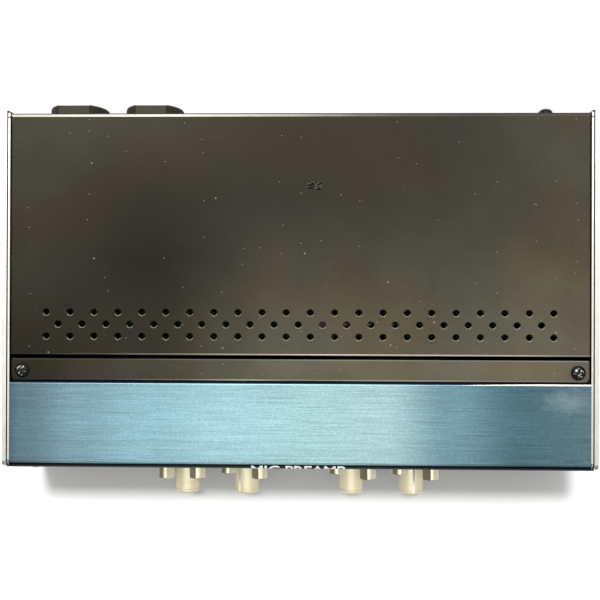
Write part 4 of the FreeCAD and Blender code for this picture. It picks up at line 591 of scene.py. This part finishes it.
def lettering(bm, words, place, u, v, size, bold=0.0):
    """Adds words, middle at (u, v), printed on a surface. Cut into rows, they follow a bend."""
    curve = bpy.data.curves.new("words", "FONT")
    curve.body = words
    curve.size = size
    curve.align_x = "CENTER"
    curve.align_y = "CENTER"
    curve.resolution_u = 3
    curve.offset = bold
    holder = bpy.data.objects.new("words", curve)
    bpy.context.scene.collection.objects.link(holder)
    bpy.context.view_layer.update()
    mesh = bpy.data.meshes.new_from_object(holder.evaluated_get(bpy.context.evaluated_depsgraph_get()))
    bpy.data.objects.remove(holder)
    flat = bmesh.new()
    flat.from_mesh(mesh)
    bpy.data.meshes.remove(mesh)
    rows = int(size / WORD_ROW) + 1
    for row in range(-rows, rows + 1):
        everything = flat.verts[:] + flat.edges[:] + flat.faces[:]
        bmesh.ops.bisect_plane(flat, geom=everything, plane_co=(0, row * WORD_ROW, 0), plane_no=(0, 1, 0))
    copied = {}
    for vert in flat.verts:
        copied[vert] = bm.verts.new(place(u + vert.co.x, v + vert.co.y, INK))
    for face in flat.faces:
        bm.faces.new([copied[vert] for vert in face.verts])
    flat.free()


def bar(bm, place, u, v, length, width, turn):
    """Adds a printed bar with clipped corners, middle at (u, v), running at an angle from straight up."""
    c, s = math.cos(turn), math.sin(turn)
    h, w, k = length / 2, width / 2, width * 0.2
    corners = [(-w + k, -h), (w - k, -h), (w, -h + k), (w, h - k),
               (w - k, h), (-w + k, h), (-w, h - k), (-w, -h + k)]
    bm.faces.new([bm.verts.new(place(u + x * c + y * s, v - x * s + y * c, INK)) for x, y in corners])


def arc(bm, place, u, v, radius, width, start, end, steps=40):
    """Adds a printed arc between two angles from straight up."""
    rows = []
    for i in range(steps + 1):
        a = math.radians(start + (end - start) * i / steps)
        rows.append([bm.verts.new(place(u + r * math.sin(a), v + r * math.cos(a), INK))
                     for r in (radius - width / 2, radius + width / 2)])
    for low, high in zip(rows, rows[1:]):
        bm.faces.new((low[0], low[1], high[1], high[0]))


def on_circle(u, v, radius, degrees):
    """The point at a radius and an angle from straight up."""
    return u + radius * math.sin(math.radians(degrees)), v + radius * math.cos(math.radians(degrees))


def knob_prints():
    """Ticks and numbers round each knob, 0 to 10 over the knob's sweep."""
    tick_at, number_at, label_drop = 6.9 * MM, 8.9 * MM, 10.2 * MM
    tick, thin, thick, text = 1.3 * MM, 0.4 * MM, 0.6 * MM, 2.0 * MM
    for name in KNOBS:
        x, _, z = JOINTS[name + "_turn"]["pos_m"]
        bm = bmesh.new()
        for mark in range(11):
            degrees = -SWEEP + 2 * SWEEP // 10 * mark
            numbered = mark % 5 == 0
            u, v = on_circle(x, z, tick_at, degrees)
            bar(bm, front_place, u, v, tick, thick if numbered else thin, math.radians(degrees))
            if numbered:
                u, v = on_circle(x, z, number_at, degrees)
                lettering(bm, str(mark), front_place, u, v, text)
        lettering(bm, name.split("_")[0].upper(), front_place, x, z - label_drop, text)
        piece(name + "_dial_print", "case", bm, WHITE_INK)


def button_prints():
    """A short label above each button."""
    labels = {"phantom_button": "48V", "pad_button": "-20", "polarity_button": "Ø", "low_cut_button": "80"}
    rise, text = 1.9 * MM, 1.9 * MM
    bm = bmesh.new()
    for name, words in labels.items():
        for channel in (1, 2):
            low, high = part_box(f"{name}_{channel}")
            lettering(bm, words, front_place, (low.x + high.x) / 2, high.z + rise, text)
    piece("button_labels", "case", bm, WHITE_INK)


def panel_prints():
    """The words on the bend, and each channel's number."""
    title_drop, title, title_weight = 2.4 * MM, 6.7 * MM, 0.14 * MM
    channel_x, channel_z, channel_text = 81 * MM, 40.8 * MM, 2.6 * MM
    bm = bmesh.new()
    lettering(bm, "MIC PREAMP", front_place, 0, TOP_Z - title_drop, title, bold=title_weight)
    for side, words in ((-1, "1"), (1, "2")):
        lettering(bm, words, front_place, side * channel_x, channel_z, channel_text)
    piece("front_lettering", "case", bm, WHITE_INK)


def meter_prints():
    """Scale arc with ticks and numbers; the last part is a thicker red band."""
    start, zero, end = -45, 20, 45           # degrees from straight up
    line_at, line, band_at, band = 17.0 * MM, 0.25 * MM, 17.3 * MM, 0.9 * MM
    tick_at, tick, tick_width = 18.0 * MM, 1.8 * MM, 0.3 * MM
    minor_at, minor, minor_width = 17.6 * MM, 0.9 * MM, 0.15 * MM
    number_at, number, unit_rise, unit = 20.4 * MM, 2.2 * MM, 9.0 * MM, 4.2 * MM
    for side in ("left", "right"):
        x, _, z = JOINTS[f"meter_needle_{side}_swing"]["pos_m"]
        black, red = bmesh.new(), bmesh.new()
        arc(black, card_place, x, z, line_at, line, start, zero)
        arc(red, card_place, x, z, band_at, band, zero, end)
        for degrees, words in ((start, "20"), (-28, "10"), (-12, "5"), (2, "3"), (zero, "0")):
            u, v = on_circle(x, z, tick_at, degrees)
            bar(black, card_place, u, v, tick, tick_width, math.radians(degrees))
            u, v = on_circle(x, z, number_at, degrees)
            lettering(black, words, card_place, u, v, number)
        for degrees in range(start, zero + 1, 5):
            u, v = on_circle(x, z, minor_at, degrees)
            bar(black, card_place, u, v, minor, minor_width, math.radians(degrees))
        u, v = on_circle(x, z, number_at, end - 3)
        lettering(red, "3", card_place, u, v, number)
        lettering(black, "VU", card_place, x, z + unit_rise, unit)
        piece(f"meter_{side}_scale_print", "case", black, BLACK_INK)
        piece(f"meter_{side}_red_print", "case", red, RED_INK)


def rear_prints():
    """A short label for each socket and switch on the rear panel."""
    text = 2.4 * MM
    low_row, jack_row, switch_row, inlet_row = 6.6 * MM, 30.6 * MM, 36.2 * MM, 24.6 * MM
    output_half, jack_half = 13 * MM, 7 * MM
    input_shift, output_shift = 9 * MM, 8 * MM
    bm = bmesh.new()

    def across(name):
        low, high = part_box(name)
        return -(low.x + high.x) / 2

    for i in (1, 2):
        lettering(bm, f"IN {i}", rear_place, across(f"combo_latch_{i}") + input_shift, low_row, text)
    low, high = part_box("pin_outputs")
    for i, x in ((1, low.x + output_half), (2, high.x - output_half)):
        lettering(bm, f"OUT {i}", rear_place, -x - output_shift, low_row, text)
    low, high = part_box("jack_nuts")
    for i, x in ((1, low.x + jack_half), (2, high.x - jack_half)):
        lettering(bm, f"OUT {i}", rear_place, -x, jack_row, text)
    lettering(bm, "POWER", rear_place, across("power_switch_frame"), switch_row, text)
    lettering(bm, "12V", rear_place, across("power_inlet"), inlet_row, text)
    piece("rear_lettering", "case", bm, WHITE_INK)


def knob_pointers():
    """White fill in the groove along each knob's side."""
    outer, half, deep, soft = 4.88 * MM, 0.42 * MM, 0.22 * MM, 0.05 * MM
    front_gap, rear_gap = 1.25 * MM, 0.2 * MM
    profile = [(-half, outer - deep), (-half, outer - soft), (-half * 0.6, outer), (half * 0.6, outer),
               (half, outer - soft), (half, outer - deep)]
    for name in KNOBS:
        joint = JOINTS[name + "_turn"]
        x, _, z = joint["pos_m"]
        rest = -SWEEP - joint["range_deg"][0]
        low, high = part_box(name)
        bm = bmesh.new()
        ends = (low.y + front_gap, high.y - rear_gap)
        rings = [[bm.verts.new((u, y, v)) for u, v in profile] for y in ends]
        for i in range(len(profile)):
            j = (i + 1) % len(profile)
            bm.faces.new((rings[0][i], rings[0][j], rings[1][j], rings[1][i]))
        bm.faces.new(rings[0][::-1])
        bm.faces.new(rings[1])
        turn = Matrix.Translation((x, 0, z)) @ Matrix.Rotation(math.radians(rest), 4, "Y")
        bmesh.ops.transform(bm, matrix=turn, verts=bm.verts)
        bmesh.ops.recalc_face_normals(bm, faces=bm.faces)
        piece(name + "_pointer", name + "_body", bm, WHITE_INK)


# ================================================================ stage
FLOOR_HALF = 3.0                             # metres
BACKDROP = (0.93, 0.93, 0.925, 1)
ROOM, GLOW = (0.23, 0.23, 0.228, 1), (1.0, 1.0, 0.985, 1)
GLOW_LEAN = (0.0, 0.35, 1.0)                 # the glow overhead leans to the rear
CONTROLS = ("knob_1", "knob_2", "button_1", "button_2")     # how the names of the knobs and buttons end
KEY_TOWARDS, KEY_STRENGTH, KEY_ANGLE = (0.07, -0.50, -1.0), 2.4, 9.0
CONTROL_LIGHT_TOWARDS, CONTROL_LIGHT_STRENGTH, CONTROL_LIGHT_ANGLE = (0.0, 0.0, -1.0), 1.62, 40.0
FILL_AT, FILL_AIM = (0.25, -1.1, 0.45), (0, 0, 0.02)
FILL_WIDTH, FILL_DEPTH, FILL_POWER = 1.0, 0.5, 2.0
CAMERA_AT = (7.6 * MM, CASE_Y - 4.4 * MM, 359.3 * MM)
CAMERA_TILT = (0.16, 1.26, 0.20)             # degrees from looking straight down
CAMERA_LENS, CAMERA_SENSOR, CAMERA_NEAR = 48.0, 36.0, 0.01


def stage():
    """A plain pale paper floor."""
    s = Shade("floor_paper")
    tooth = s.noise((0.05, 0.05, 0.05), 4, 0.6)
    colour = s.mix(s.span(tooth, 0.3, 0.7), (0.93, 0.93, 0.925), (0.95, 0.95, 0.945))
    bm = bmesh.new()
    bmesh.ops.create_grid(bm, x_segments=8, y_segments=8, size=FLOOR_HALF)
    mesh = bpy.data.meshes.new("floor")
    bm.to_mesh(mesh)
    bm.free()
    mesh.materials.append(s.surface(Base_Color=colour, Roughness=0.9, Specular_IOR_Level=0.1))
    floor = bpy.data.objects.new("floor", mesh)
    bpy.context.scene.collection.objects.link(floor)


def softbox(name, at, aim, width, depth, power):
    """A rectangular lamp of a width and depth in metres, not seen by the camera."""
    data = bpy.data.lights.new(name, "AREA")
    data.shape = "RECTANGLE"
    data.size = width
    data.size_y = depth
    data.energy = power
    made = bpy.data.objects.new(name, data)
    made.location = at
    made.rotation_euler = (Vector(aim) - Vector(at)).to_track_quat("-Z", "Y").to_euler()
    made.visible_camera = False
    bpy.context.scene.collection.objects.link(made)
    return made


def sky():
    """Studio surroundings: one soft glow overhead and a dim even room. The camera sees a pale backdrop."""
    world = bpy.data.worlds.new("studio")
    bpy.context.scene.world = world
    world.use_nodes = True
    tree = world.node_tree
    tree.nodes.clear()
    coordinate = tree.nodes.new("ShaderNodeTexCoord")
    lean = tree.nodes.new("ShaderNodeVectorMath")
    lean.operation = "DOT_PRODUCT"
    lean.inputs[1].default_value = GLOW_LEAN
    ramp = tree.nodes.new("ShaderNodeValToRGB")
    background = tree.nodes.new("ShaderNodeBackground")
    out = tree.nodes.new("ShaderNodeOutputWorld")
    tree.links.new(coordinate.outputs["Generated"], lean.inputs[0])
    tree.links.new(lean.outputs["Value"], ramp.inputs[0])
    tree.links.new(ramp.outputs[0], background.inputs[0])
    path = tree.nodes.new("ShaderNodeLightPath")
    backdrop = tree.nodes.new("ShaderNodeBackground")
    backdrop.inputs[0].default_value = BACKDROP
    seen = tree.nodes.new("ShaderNodeMixShader")
    tree.links.new(path.outputs["Is Camera Ray"], seen.inputs[0])
    tree.links.new(background.outputs[0], seen.inputs[1])
    tree.links.new(backdrop.outputs[0], seen.inputs[2])
    tree.links.new(seen.outputs[0], out.inputs[0])
    ramp.color_ramp.interpolation = "EASE"
    room, glow = ramp.color_ramp.elements
    room.position, glow.position = 0.66, 0.96
    room.color, glow.color = ROOM, GLOW


def sun(name, towards, strength, angle):
    """A distant round lamp."""
    data = bpy.data.lights.new(name, "SUN")
    data.energy = strength
    data.angle = math.radians(angle)
    made = bpy.data.objects.new(name, data)
    made.rotation_euler = Vector(towards).to_track_quat("-Z", "Y").to_euler()
    bpy.context.scene.collection.objects.link(made)
    return made


def group(name, nodes):
    """A collection of nodes for a lamp's light linking."""
    made = bpy.data.collections.new(name)
    for node in sorted(nodes, key=lambda node: node.name):
        made.objects.link(node)
    return made


def lights():
    """A key from the rear for all but the controls, a lamp for the controls alone, and a weak front fill."""
    controls = [node for name, node in NODES.items() if name.endswith(CONTROLS)]
    key = sun("key_rear", KEY_TOWARDS, KEY_STRENGTH, KEY_ANGLE)
    key.light_linking.blocker_collection = group("key_rear_blocked", set(NODES.values()) - set(controls))
    key.light_linking.receiver_collection = group("key_rear_unlit", controls)
    for member in key.light_linking.receiver_collection.collection_objects:
        member.light_linking.link_state = "EXCLUDE"
    lamp = sun("knob_light", CONTROL_LIGHT_TOWARDS, CONTROL_LIGHT_STRENGTH, CONTROL_LIGHT_ANGLE)
    lamp.light_linking.receiver_collection = group("knob_light_lit", controls)
    lamp.light_linking.blocker_collection = lamp.light_linking.receiver_collection
    fill = softbox("fill_front", FILL_AT, FILL_AIM, FILL_WIDTH, FILL_DEPTH, FILL_POWER)
    fill.visible_glossy = False


def camera():
    """Straight above the case, a little off its middle."""
    data = bpy.data.cameras.new("camera")
    data.lens = CAMERA_LENS
    data.sensor_width = CAMERA_SENSOR
    data.clip_start = CAMERA_NEAR
    made = bpy.data.objects.new("camera", data)
    made.location = CAMERA_AT
    made.rotation_euler = tuple(math.radians(a) for a in CAMERA_TILT)
    bpy.context.scene.collection.objects.link(made)
    bpy.context.scene.camera = made
    bpy.context.scene.view_settings.view_transform = "Standard"


dress_nodes()
knob_prints()
button_prints()
panel_prints()
meter_prints()
rear_prints()
knob_pointers()
stage()
sky()
lights()
camera()
